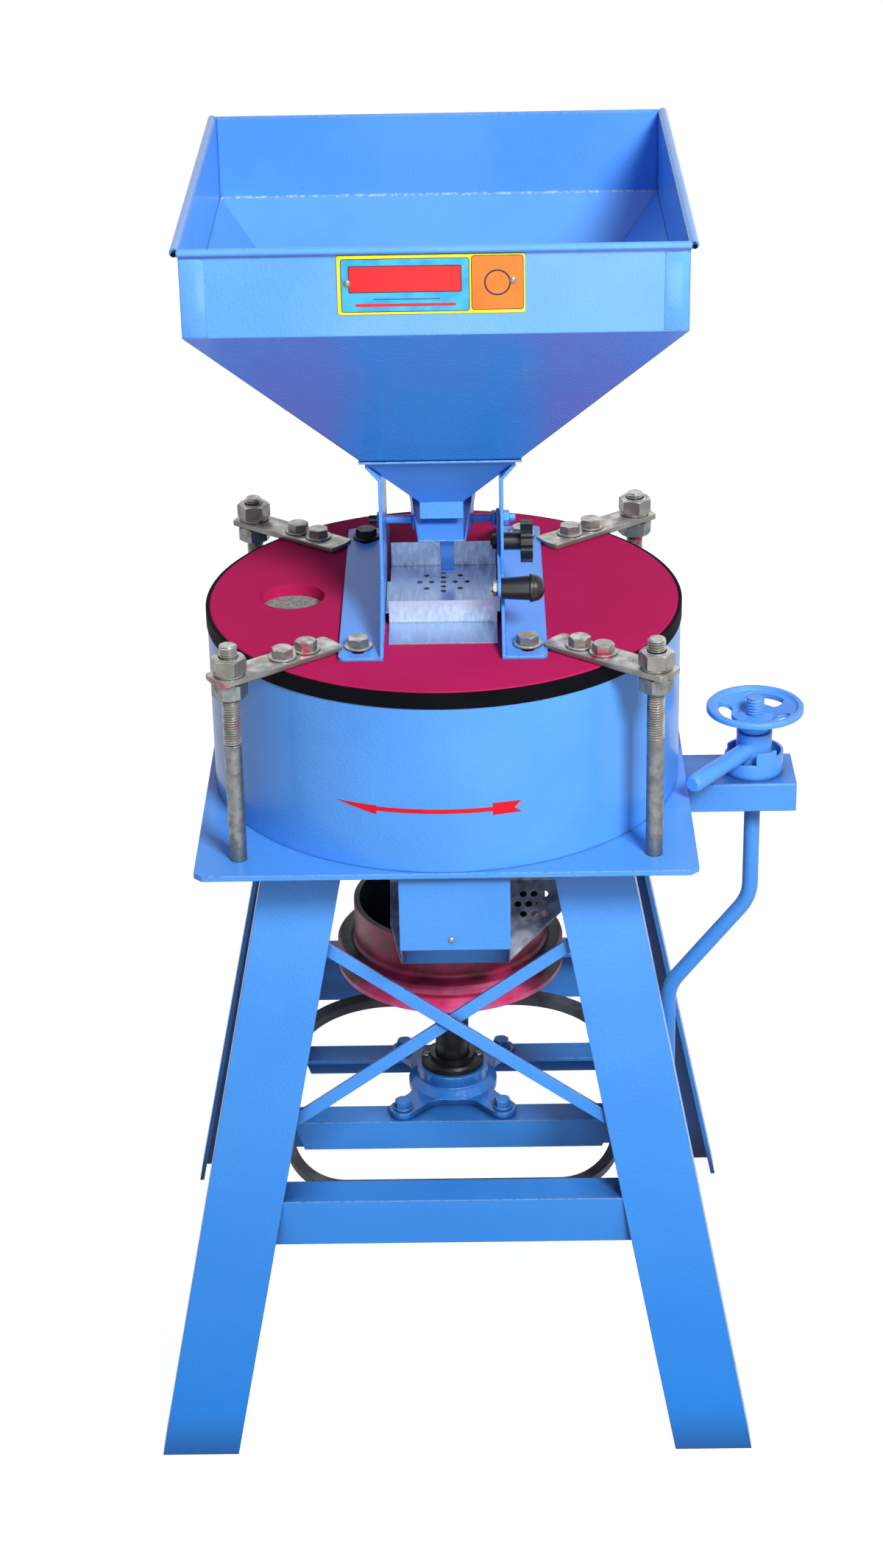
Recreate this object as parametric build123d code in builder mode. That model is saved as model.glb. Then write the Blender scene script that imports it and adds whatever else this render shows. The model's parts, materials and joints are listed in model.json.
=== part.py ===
"""Vertical-shaft stone flour mill on a splayed channel stand.

Grain falls from the hopper through a tilting feed chute and a perforated
tray into the eye of a fixed upper stone.  A runner stone below it turns on
a vertical spindle, driven by a cup pulley.  A handwheel on the right pulls
a bent rod, and the rod tilts a beam that lifts the spindle.

Millimetres, +Z up, +Y to the rear.  Everything is modelled about the
spindle axis, with the floor at Z = 0.  On export the whole mill is moved
so that the origin is the middle of its footprint on the floor.
"""
import os
from math import asin, atan2, cos, degrees, hypot, pi, radians, sin

from build123d import *

# --- Stand: four splayed channel legs under the base plate --------------------
deck_level = 828.0          # underside of the base plate
deck_width = 616.0          # along X
deck_depth = 604.0          # along Y
deck_thickness = 7.0
deck_corner = 10.0          # chamfer of the plate's corners

leg_width = 100.0           # channel, across the web
leg_flange = 50.0
leg_wall = 6.0
leg_foot_x = 338.0          # middle of the web at the floor
leg_foot_y = 352.0          # outer face of the web at the floor
leg_lean_x = 164.0          # how far the leg leans inwards up to the deck
leg_lean_y = 152.0

front_rail_top = 352.0
front_rail_height = 65.0
front_rail_depth = 48.0
rear_rail_top = 425.0
rear_rail_height = 95.0
rear_rail_depth = 48.0
rail_wall = 6.0

side_rail_top = 353.0
side_rail_outside = 273.0   # outer face of the side rails, from the axis
side_rail_size = 45.0
side_rail_wall = 5.0

bearing_rail_face = 100.0   # outer face of the two bearing rails, from the axis
bearing_rail_depth = 41.0
bearing_rail_height = 42.0
bearing_rail_trim = 15.0    # where the slanting end cut starts, from the rail's end
bearing_rail_slant = 13.0

brace_width = 16.0
brace_thickness = 5.0
brace_top_level = 686.0     # where the braces cross the inner edges of the legs
brace_top_reach = 152.0
brace_foot_level = 460.0
brace_foot_reach = 197.0

# --- Grinding chamber ----------------------------------------------------------
drum_radius = 300.0
drum_wall = 6.0
drum_height = 219.0
gasket_radius = 301.5
gasket_seat = 5.0           # flat part between the drum and the lid
gasket_width = 13.5
gasket_band = 14.5          # upstand round the lid's edge
lid_thickness = 16.0
lid_gap = 0.3
eye_radius = 50.0
inspection_x = -192.0
inspection_y = 3.0
inspection_radius = 41.0

stone_radius = 254.0
stone_thickness = 70.0
stone_gap = 4.0
upper_eye_radius = 58.0

# --- Lid clamps ----------------------------------------------------------------
stud_offset = 255.0
stud_diameter = 22.0
front_stud_stand = 16.0     # stud ends above their top nuts
rear_stud_stand = 8.0
stud_chamfer = 2.0
nut_width = 38.0            # across flats
nut_height = 20.0
washer_thickness = 3.0
arm_width = 42.0
arm_thickness = 8.0
arm_reach = 155.0
arm_tail = 23.0
arm_angle = 38.0            # from the X axis
arm_bolt_places = (78.0, 113.0)
arm_slot_place = 138.0
arm_slot_length = 13.0

bolt_diameter = 16.0
bolt_width = 24.0           # across flats
bolt_head = 10.0
bolt_hole = 17.0
bolt_depth = 13.0           # shank below the clamped piece
bolt_washer = 35.0
bolt_turn = 12.0            # of the heads, as they were left

# --- Spindle, bearings and pulley -------------------------------------------------
spindle_diameter = 45.0
pivot_diameter = 32.0       # turned-down lower end
pivot_end = 304.2
spindle_shoulder = 332.0
running_gap = 0.05

pulley_bottom = 550.0
pulley_height = 94.0
pulley_radius = 127.0
pulley_shoulder_radius = 133.0  # where the cup's fillet meets the upper flange
pulley_shoulder = 38.0          # upper flange's face, above the bottom
pulley_shoulder_rise = 7.0      # height of the fillet
pulley_flange_radius = 150.0
pulley_flange_edge = 6.0        # straight edge of the lower flange
pulley_flange_bevel = 4.0
pulley_groove_radius = 132.0    # bottom of the V-groove
pulley_groove_low = 16.0        # groove's bottom, above the pulley's
pulley_groove_floor = 4.0
pulley_groove_high = 27.0       # groove's upper lip, above the pulley's bottom
pulley_wall = 7.0
pulley_web = 14.0
pulley_hub_radius = 36.0
pulley_hub_height = 52.0
pulley_draft = 3.0          # slope of the cast hub and cup

housing_foot = 9.0
housing_bolt_x = 67.0
housing_bolt_y = 78.0
housing_ear_radius = 18.0
housing_body_radius = 60.0
housing_boss_radius = 48.5
housing_boss_top = 35.0     # above the rails
housing_skirt_radius = 45.0
housing_bolt_diameter = 12.0
housing_bolt_width = 19.0
housing_washer = 26.0
housing_hole = 13.0
housing_bolt_end = 6.0      # shank below the rail
bearing_outer_radius = 36.0
bearing_split_radius = 26.3
bearing_split_gap = 0.6
bearing_height = 36.0
bearing_seat = 11.0         # the race's lower face, below the rails' top
cap_radius = 42.0
cap_height = 10.0
cap_step_radius = 30.0
cap_step_height = 5.0

neck_flange_radius = 80.0
neck_flange = 10.0
neck_hub_radius = 48.0
neck_height = 33.0
neck_bush_radius = 30.0

carrier_radius = 262.0
carrier_thickness = 16.0
carrier_hub_radius = 45.0
carrier_hub_height = 27.0
carrier_boss_radius = 49.0
carrier_boss_height = 15.0
spindle_stand = 12.0
sweeper_inner = 200.0
sweeper_outer = 286.0
sweeper_thickness = 6.0
sweeper_clearance = 6.0
sweeper_count = 4

# --- Flour spout and pulley guard ---------------------------------------------------
spout_x = 9.5
spout_width = 137.0
spout_front = 290.0
spout_back = 192.0
spout_front_lip = 722.0
spout_back_lip = 648.0
sheet = 2.0
outlet_margin = 8.0

guard_left = -75.0
guard_right = 150.0
guard_low_left = -60.0
guard_low_right = 72.0
guard_front = 186.0         # lower edge of the slope, in front of the axis
guard_back = 97.0
guard_low = 646.0
guard_rise = 70.0           # of the slope, up to its fold
guard_flange = 22.0
guard_clip = 45.0           # cut corner at the left, along Y
guard_wing = 30.0           # how far the right end keeps its depth below the fold
guard_hole = 9.0
guard_hole_pitch = 14.0
guard_hole_rows = 3
guard_hole_columns = 3
guard_hole_start = 96.0     # first hole, to the right of the axis
guard_hole_up = 66.0        # lowest row, up the slope

# --- Tentering gear ---------------------------------------------------------------
adjuster_x = 398.0
adjuster_y = -8.0
bracket_inner = 255.0       # end under the deck, from the axis
bracket_outer = 450.0
bracket_width = 92.0
bracket_height = 39.0
bracket_wall = 5.0
collar_radius = 38.0
collar_wall = 3.5
collar_low = 21.0
collar_middle = 28.0
collar_high = 38.0
collar_tab = (270.0, 315.0)     # high tab, degrees round from +X
collar_ledge = (315.0, 510.0)
release_hub_radius = 23.0
release_hub_height = 55.4
release_bar_radius = 11.5
release_bar_level = 33.0
release_bar_reach = 143.0
release_angle = 232.0
part_gap = 0.3              # between faces of pieces that move past each other

wheel_radius = 62.5
wheel_rim_width = 7.0
wheel_rim_height = 7.0
wheel_top = 36.0            # rim's top above the release hub
wheel_web = 4.0
wheel_dish = 8.0
wheel_hub_radius = 24.0
wheel_boss_foot = 19.0
wheel_window_radius = 39.0
wheel_window_width = 17.0
wheel_window_span = 52.0
wheel_window_start = 40.0

rod_radius = 10.5
rod_bore = 12.0
rod_top = 929.0
rod_upper_bend = 640.0
rod_lower_bend = 506.0
rod_foot_x = 292.0
rod_foot = 246.0
rod_bend_radius = 60.0
rod_nut_width = 30.0
rod_nut_height = 10.0
rod_nut_gap = 0.6

beam_top = 298.0
beam_height = 30.0
beam_width = 36.0
beam_pivot_x = -250.0
beam_tail = 42.0
beam_nose = 24.0
beam_rod_hole = 13.5
beam_pin_radius = 8.0
beam_pin_gap = 0.06
beam_side_gap = 0.5
cheek_thickness = 5.0
cheek_foot = 262.0
cheek_width = 36.0
cup_radius = 22.0
cup_height = 24.0

# --- Hopper -----------------------------------------------------------------------
bin_half_x = 284.3
bin_half_y = 294.5
bin_fold = 1513.0           # where the walls turn into the cone
bin_wall = 102.5            # height of the upright walls
rim_radius = 4.5            # rolled bead along the front and the rear
rim_side_radius = 5.2
rim_bite = 1.2              # how far the bead's circle reaches into the wall's line
rim_lap = 1.0               # front bead past the corners, and side beads past the front
rim_curl = 3.0              # open front ends of the side beads
rim_curl_depth = 3.0
seam_level = 1295.0
seam_flange = 3.0
seam_thickness = 2.5
throat_half_x = 27.0
throat_half_y = 40.0
throat_top = 1216.0
throat_foot = 1194.0
cone_sheet = 2.7            # sheet measured level, through the slope

plate_width = 209.0
plate_height = 68.0
plate_thickness = 1.5
plate_x = -4.0
plate_drop = 9.5            # plate's top edge, below the bin's top

foot_front = 205.0
foot_rear = 225.0
foot_width = 55.0
foot_corner = 8.0
upright_face = 72.0         # inner face, from the axis
upright_plate = 4.0
upright_half = 100.0
upright_shoulder = 66.0     # height of the shoulder above the lid
upright_toe = 5.0
upright_grip = 25.0         # strip that lies on the cone
foot_bolt_x = 103.0
foot_bolt_y = (-169.0, 192.0)
foot_slot_length = 14.0

# --- Feed gear --------------------------------------------------------------------
pivot_y = 20.0
pivot_z = 1171.0
pivot_radius = 5.5
pivot_half = 92.0
pivot_gap = 0.06

tray_half = 67.0
tray_sheet = 1.5
tray_floor = 15.0           # above the lid
tray_front = 95.0
tray_rear = 64.0
tray_lip = 32.0
tray_back = 47.0
apron_front = 156.0
apron_thickness = 3.0
tray_hole = 6.0
tray_ring_pitch = 15.0
tray_ring_counts = (1, 4, 8)
tray_rings_y = 7.0

chute_front_y = -70.0
chute_rear_y = 62.0
chute_front_half = 29.5
chute_rear_half = 42.0
chute_front_z = 1177.0
chute_rear_z = 1187.0
chute_wall_top = 1203.0
chute_sheet = 1.6
lug_radius = 11.0

tongue_width = 17.0
tongue_x = 6.0
tongue_top_y = -58.0
tongue_foot_y = 6.0
tongue_foot_z = 1107.0
tongue_sag = 9.0
tongue_roll = 3.5

lever_plate = 4.0
lever_width = 24.0
handle_y = -150.0
handle_z = 1145.0
handle_length = 53.0
handle_radius = 12.0
handle_end_radius = 14.0
knob_y = -38.0
knob_stud_radius = 5.0
knob_hub_radius = 11.0
knob_hub_length = 21.0
knob_radius = 27.0
knob_width = 15.0
knob_flutes = 10
knob_flute_radius = 5.0
knob_slot_play = 2.0        # slot wider than the stud by this much
feed_swing = (-5.0, 10.0)   # degrees, positive lifts the chute's lip
feed_nut = 17.0             # across flats
feed_nut_height = 6.0

# --- Spare V-belt lying on the bearing rails ---------------------------------------
belt_width = 22.0           # outer face
belt_inner_width = 13.0
belt_thickness = 14.0
belt_half = 218.0           # middle line of the sides, from the axis
belt_rear = 206.0           # middle line of the rear run
belt_rear_corner = 135.0
belt_side = 112.0           # how far the level sides run forward
belt_drop = 32.0            # slope of the front loop, degrees
belt_drop_radius = 40.0
belt_corner = 78.0

# --- Levels that follow ------------------------------------------------------------
floor_level = deck_level + deck_thickness
drum_top = floor_level + drum_height
lid_bottom = drum_top + gasket_seat
lid_top = lid_bottom + lid_thickness
lid_radius = gasket_radius - 4.8
upper_stone_bottom = lid_bottom - stone_thickness
runner_top = upper_stone_bottom - stone_gap
runner_bottom = runner_top - stone_thickness
carrier_bottom = runner_bottom - carrier_thickness
spindle_radius = spindle_diameter / 2
stud_radius = stud_diameter / 2
arm_top = lid_top + arm_thickness
release_hub_foot = deck_level + part_gap
release_hub_top = release_hub_foot + release_hub_height
wheel_foot = release_hub_top + part_gap
upright_outer = upright_face + upright_plate
bin_top = bin_fold + bin_wall

# The footprint runs from the left feet to the handwheel's rim, so its middle
# lies a little to the right of the spindle axis.
footprint_middle = (adjuster_x + wheel_radius - leg_foot_x - leg_width / 2) / 2

pieces = {}


def keep(name, part):
    """Label a finished piece and keep it for export."""
    part.label = name
    pieces[name] = part


def prism(plane, points, start, stop):
    """A straight block with the given outline, between two offsets from a plane."""
    with BuildPart() as block:
        with BuildSketch(plane.offset(start)):
            with BuildLine():
                Polyline(*points, close=True)
            make_face()
        extrude(amount=stop - start)
    return block.part


def turned(plane, points, axis=Axis.Z):
    """A solid of revolution from the profile of one side."""
    with BuildPart() as body:
        with BuildSketch(plane):
            with BuildLine():
                Polyline(*points, close=True)
            make_face()
        revolve(axis=axis)
    return body.part


def ring(outer, inner, bottom, top):
    """A plain ring about the spindle axis."""
    with BuildPart() as body:
        with BuildSketch(Plane.XY.offset(bottom)):
            Circle(outer)
            Circle(inner, mode=Mode.SUBTRACT)
        extrude(amount=top - bottom)
    return body.part


def rod_along_x(y, z, radius, start, stop):
    """A round bar along X."""
    with BuildPart() as bar:
        with BuildSketch(Plane.YZ.offset(start)):
            with Locations((y, z)):
                Circle(radius)
        extrude(amount=stop - start)
    return bar.part


# --- Legs and rails ------------------------------------------------------------------
def leg(side_x, side_y, solid=False):
    """One leg, leaning inwards both ways; solid=True gives its outer block."""
    lean = Vector(-side_x * leg_lean_x, -side_y * leg_lean_y, deck_level)
    web_middle = side_y * (leg_foot_y - leg_flange / 2)
    with BuildPart() as body:
        with BuildSketch(Plane.XY):
            with Locations((side_x * leg_foot_x, web_middle)):
                Rectangle(leg_width, leg_flange)
            if not solid:
                with Locations((side_x * leg_foot_x, web_middle - side_y * leg_wall)):
                    Rectangle(leg_width - 2 * leg_wall, leg_flange, mode=Mode.SUBTRACT)
        extrude(amount=lean.length, dir=lean.normalized())
    return body.part


def leg_face(level):
    """Distance of the web's outer face from the axis, along Y, at a level."""
    return leg_foot_y - leg_lean_y * level / deck_level


def leg_edge(level):
    """Distance of a leg's inner edge from the axis, along X, at a level."""
    return leg_foot_x - leg_width / 2 - leg_lean_x * level / deck_level


def angle_points(corner, top, depth, height, wall):
    """Corners of an angle section; a negative depth points the other way."""
    side = 1 if depth > 0 else -1
    return [
        (corner, top),
        (corner + depth, top),
        (corner + depth, top - wall),
        (corner + side * wall, top - wall),
        (corner + side * wall, top - height),
        (corner, top - height),
    ]


corners = {
    "front_left": (-1, -1),
    "front_right": (1, -1),
    "rear_left": (-1, 1),
    "rear_right": (1, 1),
}
for corner_name, (side_x, side_y) in corners.items():
    keep(f"{corner_name}_leg", leg(side_x, side_y))

front_blocks = [leg(-1, -1, solid=True), leg(1, -1, solid=True)]
rear_blocks = [leg(-1, 1, solid=True), leg(1, 1, solid=True)]

# The front and rear rails are cut to fit between the legs.
front_reach = leg_edge(front_rail_top) + leg_width / 2
front_angle = angle_points(-leg_face(front_rail_top), front_rail_top,
                           front_rail_depth, front_rail_height, rail_wall)
with BuildPart() as front_rail:
    add(prism(Plane.YZ, front_angle, -front_reach, front_reach))
    add(front_blocks, mode=Mode.SUBTRACT)
keep("front_rail", front_rail.part)

rear_reach = leg_edge(rear_rail_top) + leg_width / 2
rear_angle = angle_points(leg_face(rear_rail_top), rear_rail_top,
                          -rear_rail_depth, rear_rail_height, rail_wall)
with BuildPart() as rear_rail:
    add(prism(Plane.YZ, rear_angle, -rear_reach, rear_reach))
    add(rear_blocks, mode=Mode.SUBTRACT)
keep("rear_rail", rear_rail.part)

# The side rails run inside the legs' channels, up to the backs of the webs.
side_rail_reach = leg_face(side_rail_top) - leg_wall / 2
for rail_name, side in (("left_rail", -1), ("right_rail", 1)):
    side_angle = angle_points(side * side_rail_outside, side_rail_top,
                              -side * side_rail_size, side_rail_size, side_rail_wall)
    with BuildPart() as side_rail:
        add(prism(Plane.XZ, side_angle, -side_rail_reach, side_rail_reach))
        add([leg(side, -1), leg(side, 1)], mode=Mode.SUBTRACT)
    keep(rail_name, side_rail.part)

# The bearing rails lie between the side rails; their lower corners are cut away.
bearing_rail_half = side_rail_outside - side_rail_size
bearing_rail_foot = side_rail_top - bearing_rail_height
bearing_rail_cut = [
    (bearing_rail_half, side_rail_top),
    (bearing_rail_half, side_rail_top - side_rail_wall),
    (bearing_rail_half - bearing_rail_trim, side_rail_top - side_rail_wall),
    (bearing_rail_half - bearing_rail_trim - bearing_rail_slant, bearing_rail_foot),
    (-bearing_rail_half + bearing_rail_trim + bearing_rail_slant, bearing_rail_foot),
    (-bearing_rail_half + bearing_rail_trim, side_rail_top - side_rail_wall),
    (-bearing_rail_half, side_rail_top - side_rail_wall),
    (-bearing_rail_half, side_rail_top),
]
for rail_name, side in (("front_bearing_rail", -1), ("rear_bearing_rail", 1)):
    bearing_angle = angle_points(side * bearing_rail_face, side_rail_top,
                                 -side * bearing_rail_depth, bearing_rail_height,
                                 side_rail_wall)
    with BuildPart() as bearing_rail:
        add(prism(Plane.YZ, bearing_angle, -bearing_rail_half, bearing_rail_half))
        add(prism(Plane.XZ, bearing_rail_cut, -bearing_rail_face - 1, bearing_rail_face + 1),
            mode=Mode.INTERSECT)
        with BuildSketch(Plane.XY.offset(side_rail_top)):
            with Locations((-housing_bolt_x, side * housing_bolt_y),
                           (housing_bolt_x, side * housing_bolt_y)):
                Circle(housing_hole / 2)
        extrude(amount=-side_rail_wall, mode=Mode.SUBTRACT)
    keep(rail_name, bearing_rail.part)

# Two flat bars cross behind the front legs, one behind the other.
front_slope = atan2(leg_lean_y, deck_level)
with BuildPart() as cross_braces:
    for layer, side in enumerate((-1, 1)):
        brace_plane = Plane(
            origin=(0, -leg_foot_y, 0),
            x_dir=(1, 0, 0),
            z_dir=(0, -cos(front_slope), sin(front_slope)),
        ).offset(-leg_wall - (layer + 1) * brace_thickness)
        rise = (brace_top_level - brace_foot_level) / cos(front_slope)
        run = brace_top_reach + brace_foot_reach
        middle = ((brace_foot_reach - brace_top_reach) / 2 * -side,
                  (brace_top_level + brace_foot_level) / 2 / cos(front_slope))
        with BuildSketch(brace_plane):
            with Locations(Location((middle[0], middle[1], 0), (0, 0, side * degrees(atan2(rise, run))))):
                Rectangle(hypot(rise, run) + leg_width / 2, brace_width)
        extrude(amount=brace_thickness)
    add(front_blocks, mode=Mode.SUBTRACT)
keep("cross_braces", cross_braces.part)

# --- Base plate, drum, gasket and lid -----------------------------------------------------
outlet_middle_y = -(spout_front + spout_back) / 2
with BuildPart() as base_plate:
    with BuildSketch(Plane.XY.offset(deck_level)) as deck_outline:
        Rectangle(deck_width, deck_depth)
        chamfer(deck_outline.vertices(), deck_corner)
        Circle(neck_bush_radius, mode=Mode.SUBTRACT)
        with Locations((spout_x, outlet_middle_y)):
            Rectangle(spout_width - 2 * outlet_margin, spout_front - spout_back - 2 * outlet_margin,
                      mode=Mode.SUBTRACT)
    extrude(amount=deck_thickness)
keep("base_plate", base_plate.part)

keep("casing_drum", ring(drum_radius, drum_radius - drum_wall, floor_level, drum_top))

with BuildPart() as casing_gasket:
    with BuildSketch(Plane.XY.offset(drum_top)):
        Circle(gasket_radius)
        Circle(gasket_radius - gasket_width, mode=Mode.SUBTRACT)
    extrude(amount=gasket_seat)
    with BuildSketch(Plane.XY.offset(lid_bottom)):
        Circle(gasket_radius)
        Circle(lid_radius + lid_gap, mode=Mode.SUBTRACT)
    extrude(amount=gasket_band)
keep("casing_gasket", casing_gasket.part)


def arm_place(side_x, side_y, along):
    """A point on a clamp arm, measured inwards from its stud."""
    turn = radians(arm_angle)
    return (side_x * (stud_offset - along * cos(turn)),
            side_y * (stud_offset - along * sin(turn)))


arm_bolts = [arm_place(sx, sy, along) for sx, sy in corners.values() for along in arm_bolt_places]
foot_bolts = [(side * foot_bolt_x, y) for side in (-1, 1) for y in foot_bolt_y]

with BuildPart() as top_plate:
    with BuildSketch(Plane.XY.offset(lid_bottom)):
        Circle(lid_radius)
        Circle(eye_radius, mode=Mode.SUBTRACT)
        with Locations((inspection_x, inspection_y)):
            Circle(inspection_radius, mode=Mode.SUBTRACT)
        with Locations(*arm_bolts, *foot_bolts):
            Circle(bolt_hole / 2, mode=Mode.SUBTRACT)
    extrude(amount=lid_thickness)
    top_edge = top_plate.edges().filter_by(GeomType.CIRCLE).sort_by(SortBy.RADIUS)[-2:].sort_by(Axis.Z)[-1]
    chamfer(top_edge, 1)
keep("top_plate", top_plate.part)

keep("upper_stone", ring(stone_radius, upper_eye_radius, upper_stone_bottom, lid_bottom))

# --- Lid clamps ------------------------------------------------------------------------------
stud_places = [(sx * stud_offset, sy * stud_offset) for sx, sy in corners.values()]
nut_top = arm_top + washer_thickness + nut_height

with BuildPart() as clamp_studs:
    for side_y, stand in ((-1, front_stud_stand), (1, rear_stud_stand)):
        with BuildSketch(Plane.XY.offset(floor_level)):
            with Locations((-stud_offset, side_y * stud_offset), (stud_offset, side_y * stud_offset)):
                Circle(stud_radius)
        extrude(amount=nut_top + stand - floor_level)
        chamfer(clamp_studs.faces().group_by(Axis((0, 0, 0), (0, side_y, 1)))[-1].edges(), stud_chamfer)
keep("clamp_studs", clamp_studs.part)

with BuildPart() as clamp_nuts:
    for bottom in (lid_top - nut_height, arm_top + washer_thickness):
        with BuildSketch(Plane.XY.offset(bottom)):
            with Locations(*stud_places):
                RegularPolygon(nut_width / 2, 6, major_radius=False)
                Circle(stud_radius, mode=Mode.SUBTRACT)
        extrude(amount=nut_height)
    with BuildSketch(Plane.XY.offset(arm_top)):
        with Locations(*stud_places):
            Circle(nut_width / 2 + 3)
            Circle(stud_radius, mode=Mode.SUBTRACT)
    extrude(amount=washer_thickness)
keep("clamp_nuts", clamp_nuts.part)

with BuildPart() as clamp_arms:
    for side_x, side_y in corners.values():
        inwards = Vector(-side_x * cos(radians(arm_angle)), -side_y * sin(radians(arm_angle)), 0)
        stud = (side_x * stud_offset, side_y * stud_offset, lid_top)
        with BuildSketch(Plane(origin=stud, x_dir=inwards, z_dir=(0, 0, 1))) as arm_outline:
            with Locations(((arm_reach - arm_tail) / 2, 0)):
                Rectangle(arm_reach + arm_tail, arm_width)
            chamfer(arm_outline.vertices().sort_by(Axis((0, 0, 0), inwards))[:2], arm_width * 0.3)
            chamfer(arm_outline.vertices().sort_by(Axis((0, 0, 0), inwards))[-2:], arm_width * 0.36)
            fillet(arm_outline.vertices(), arm_width * 0.2)
            Circle(stud_radius, mode=Mode.SUBTRACT)
            with Locations(*[(along, 0) for along in arm_bolt_places]):
                Circle(bolt_hole / 2, mode=Mode.SUBTRACT)
            with Locations((arm_slot_place, 0)):
                SlotCenterToCenter(arm_slot_length, bolt_hole, mode=Mode.SUBTRACT)
        extrude(amount=arm_thickness)
keep("clamp_arms", clamp_arms.part)


def bolts(places, seat, depth, diameter=bolt_diameter, width=bolt_width, washer=bolt_washer):
    """Hexagon bolts with washers, seated on a level face."""
    with BuildPart() as group:
        with BuildSketch(Plane.XY.offset(seat)):
            with Locations(*places):
                Circle(washer / 2)
        extrude(amount=washer_thickness)
        with BuildSketch(Plane.XY.offset(seat + washer_thickness)):
            with Locations(*places):
                RegularPolygon(width / 2, 6, major_radius=False, rotation=bolt_turn)
        extrude(amount=bolt_head)
        with BuildSketch(Plane.XY.offset(seat - depth)):
            with Locations(*places):
                Circle(diameter / 2)
        extrude(amount=depth)
    return group.part


keep("clamp_arm_bolts", bolts(arm_bolts, arm_top, arm_thickness + bolt_depth))

# --- Flour spout and the guard over the pulley --------------------------------------------------
spout_side = [
    (-spout_front, deck_level),
    (-spout_front, spout_front_lip),
    (-spout_back, spout_back_lip),
    (-spout_back, deck_level),
]
with BuildPart() as flour_spout:
    with BuildSketch(Plane.XY.offset(spout_back_lip)):
        with Locations((spout_x, outlet_middle_y)):
            Rectangle(spout_width, spout_front - spout_back)
            Rectangle(spout_width - 2 * sheet, spout_front - spout_back - 2 * sheet, mode=Mode.SUBTRACT)
    extrude(amount=deck_level - spout_back_lip)
    add(prism(Plane.YZ, spout_side, spout_x - spout_width, spout_x + spout_width),
        mode=Mode.INTERSECT)
keep("flour_spout", flour_spout.part)

# The guard: a top flange under the deck, an upright panel and a sloping panel
# with a cut corner, drawn in profile and trimmed to its outline from above.
guard_plan = [
    (guard_left, -guard_back + guard_flange),
    (guard_right, -guard_back + guard_flange),
    (guard_right, -guard_back - guard_wing),
    (guard_low_right, -guard_front - sheet),
    (guard_low_left, -guard_front - sheet),
    (guard_left, -guard_front + guard_clip),
]
guard_lean = atan2(guard_front - guard_back, guard_rise)
guard_fold_drop = sheet * (1 - sin(guard_lean)) / cos(guard_lean)
guard_fold = guard_low + guard_rise
guard_profile = [
    (-guard_front, guard_low),
    (-guard_back, guard_fold),
    (-guard_back, deck_level),
    (-guard_back + guard_flange, deck_level),
    (-guard_back + guard_flange, deck_level - sheet),
    (-guard_back + sheet, deck_level - sheet),
    (-guard_back + sheet, guard_fold - guard_fold_drop),
    (-guard_front + sheet * cos(guard_lean), guard_low - sheet * sin(guard_lean)),
]
with BuildPart() as pulley_guard:
    add(prism(Plane.YZ, guard_profile, guard_left, guard_right))
    add(prism(Plane.XY, guard_plan, guard_low - sheet, deck_level), mode=Mode.INTERSECT)
    slope_plane = Plane(origin=(0, -guard_front, guard_low), x_dir=(1, 0, 0),
                        z_dir=(0, -guard_rise, guard_front - guard_back))
    with BuildSketch(slope_plane) as guard_holes:
        with Locations(*[(guard_hole_start + guard_hole_pitch * (column - row % 2 / 2),
                          guard_hole_up + guard_hole_pitch * row)
                         for row in range(guard_hole_rows) for column in range(guard_hole_columns)]):
            Circle(guard_hole / 2)
    extrude(amount=sheet * 2, both=True, mode=Mode.SUBTRACT)
keep("pulley_guard", pulley_guard.part)

# --- Neck bearing in the base plate -----------------------------------------------------------------
keep("neck_bearing_housing", turned(Plane.XZ, [
    (neck_bush_radius, floor_level),
    (neck_flange_radius, floor_level),
    (neck_flange_radius, floor_level + neck_flange),
    (neck_hub_radius + 6, floor_level + neck_flange),
    (neck_hub_radius, floor_level + neck_height),
    (neck_bush_radius, floor_level + neck_height),
]))
keep("neck_bush", ring(neck_bush_radius, spindle_radius + running_gap, deck_level, floor_level + neck_height))

# --- Bottom bearing on the bearing rails ----------------------------------------------------------------
bearing_foot = side_rail_top - bearing_seat
boss_top = side_rail_top + housing_boss_top
housing_bolt_places = [(sx * housing_bolt_x, sy * housing_bolt_y) for sx, sy in corners.values()]

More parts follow.
